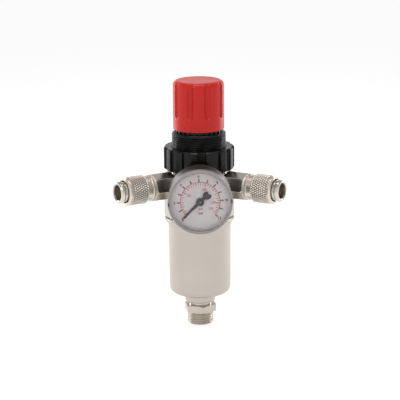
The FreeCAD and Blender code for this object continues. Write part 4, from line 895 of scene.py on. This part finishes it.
turned_piece("hand_hub", rounded([(0.65, 60.8), (3.15, 60.8, 0.1), (3.15, 62.5, 0.35), (1.1, 62.5, 0.1),
                                  (0.65, 62.3)]), pointer_paint, "gauge_hand", "pointer_black", HAND_PLACE)
rivet_run = rounded([(0.7, 62.4), (0.7, 62.8, 0.15), (0.0, 62.95)], closed=False)
turned_piece("hand_rivet", rivet_run, spring_wire, "gauge_hand", "plated_steel", HAND_PLACE, closed=False)


# ---------------------------------------------------------------- floor, light and camera
def area_light(name, place, target, width, height, power):
    """A soft rectangular light aimed at a point."""
    light = bpy.data.lights.new(name, "AREA")
    light.shape = "RECTANGLE"
    light.size = width
    light.size_y = height
    light.energy = power
    lamp = bpy.data.objects.new(name, light)
    bpy.context.scene.collection.objects.link(lamp)
    lamp.location = place
    lamp.rotation_euler = (Vector(target) - Vector(place)).to_track_quat("-Z", "Y").to_euler()


floor_mesh = bpy.data.meshes.new("floor")
HALF_FLOOR = 6.0
floor_corners = [(HALF_FLOOR * across, HALF_FLOOR * along, 0)
                 for across, along in ((-1, -1), (1, -1), (1, 1), (-1, 1))]
floor_mesh.from_pydata(floor_corners, [], [(0, 1, 2, 3)])
floor = bpy.data.objects.new("floor", floor_mesh)
bpy.context.scene.collection.objects.link(floor)
floor.location = (0, 0, -0.0006)
FLOOR_GLOW = 0.74
floor_paint = Paint("floor_white").set(Emission_Strength=FLOOR_GLOW)
floor_cloud = floor_paint.noise(1.2, 4.0, 0.5)
floor_mesh.materials.append(floor_paint.finish(
    floor_paint.mix(floor_cloud, (0.36, 0.36, 0.355, 1), (0.38, 0.38, 0.375, 1)),
    floor_paint.span(floor_cloud, 0.8, 0.9),
    floor_paint.bump(floor_paint.noise(400.0), 0.0001, 0.2)))
floor_paint.shader.inputs["Emission Color"].default_value = (1.0, 1.0, 1.0, 1)

# The studio is brightest near the horizon and dimmer overhead.
world = bpy.data.worlds.new("studio")
bpy.context.scene.world = world
world.use_nodes = True
tree = world.node_tree
backdrop = tree.nodes["Background"]
spread = tree.nodes.new("ShaderNodeTexCoord").outputs["Generated"]
parts_of = tree.nodes.new("ShaderNodeSeparateXYZ")
tree.links.new(spread, parts_of.inputs["Vector"])
fall = tree.nodes.new("ShaderNodeValToRGB")
fall.color_ramp.elements[0].position = 0.10
fall.color_ramp.elements[0].color = (0.92, 0.92, 0.92, 1)
fall.color_ramp.elements[1].position = 0.75
fall.color_ramp.elements[1].color = (0.38, 0.38, 0.385, 1)
tree.links.new(parts_of.outputs["Z"], fall.inputs["Fac"])
tree.links.new(fall.outputs["Color"], backdrop.inputs["Color"])
backdrop.inputs["Strength"].default_value = 1.0

area_light("back_left", (-0.75, 0.55, 0.25), (0, 0, 0.13), 0.22, 0.7, 3.5)
area_light("back_right", (0.75, 0.55, 0.25), (0, 0, 0.13), 0.22, 0.7, 3.0)
area_light("key", (-0.5, -0.8, 0.9), (0, 0, 0.12), 0.5, 0.5, 2.3)
area_light("overhead", (0.0, -0.06, 0.95), (0, 0, 0.15), 0.6, 0.6, 3.2)

camera_data = bpy.data.cameras.new("camera")
camera = bpy.data.objects.new("camera", camera_data)
bpy.context.scene.collection.objects.link(camera)
ORBIT = Matrix.Rotation(math.radians(-0.6), 4, "Z")
LOOK_DOWN = Matrix.Rotation(math.radians(90 - 14.2), 4, "X")
ROLL = Matrix.Rotation(math.radians(-0.52), 4, "Z")
camera.matrix_world = ORBIT @ Matrix.Translation((0.00049, -1.385, 0.455)) @ LOOK_DOWN @ ROLL
camera_data.sensor_width = 36
camera_data.lens = 156.8
camera_data.clip_start = 0.05
camera_data.clip_end = 30
bpy.context.scene.camera = camera
bpy.context.scene.view_settings.view_transform = "Standard"
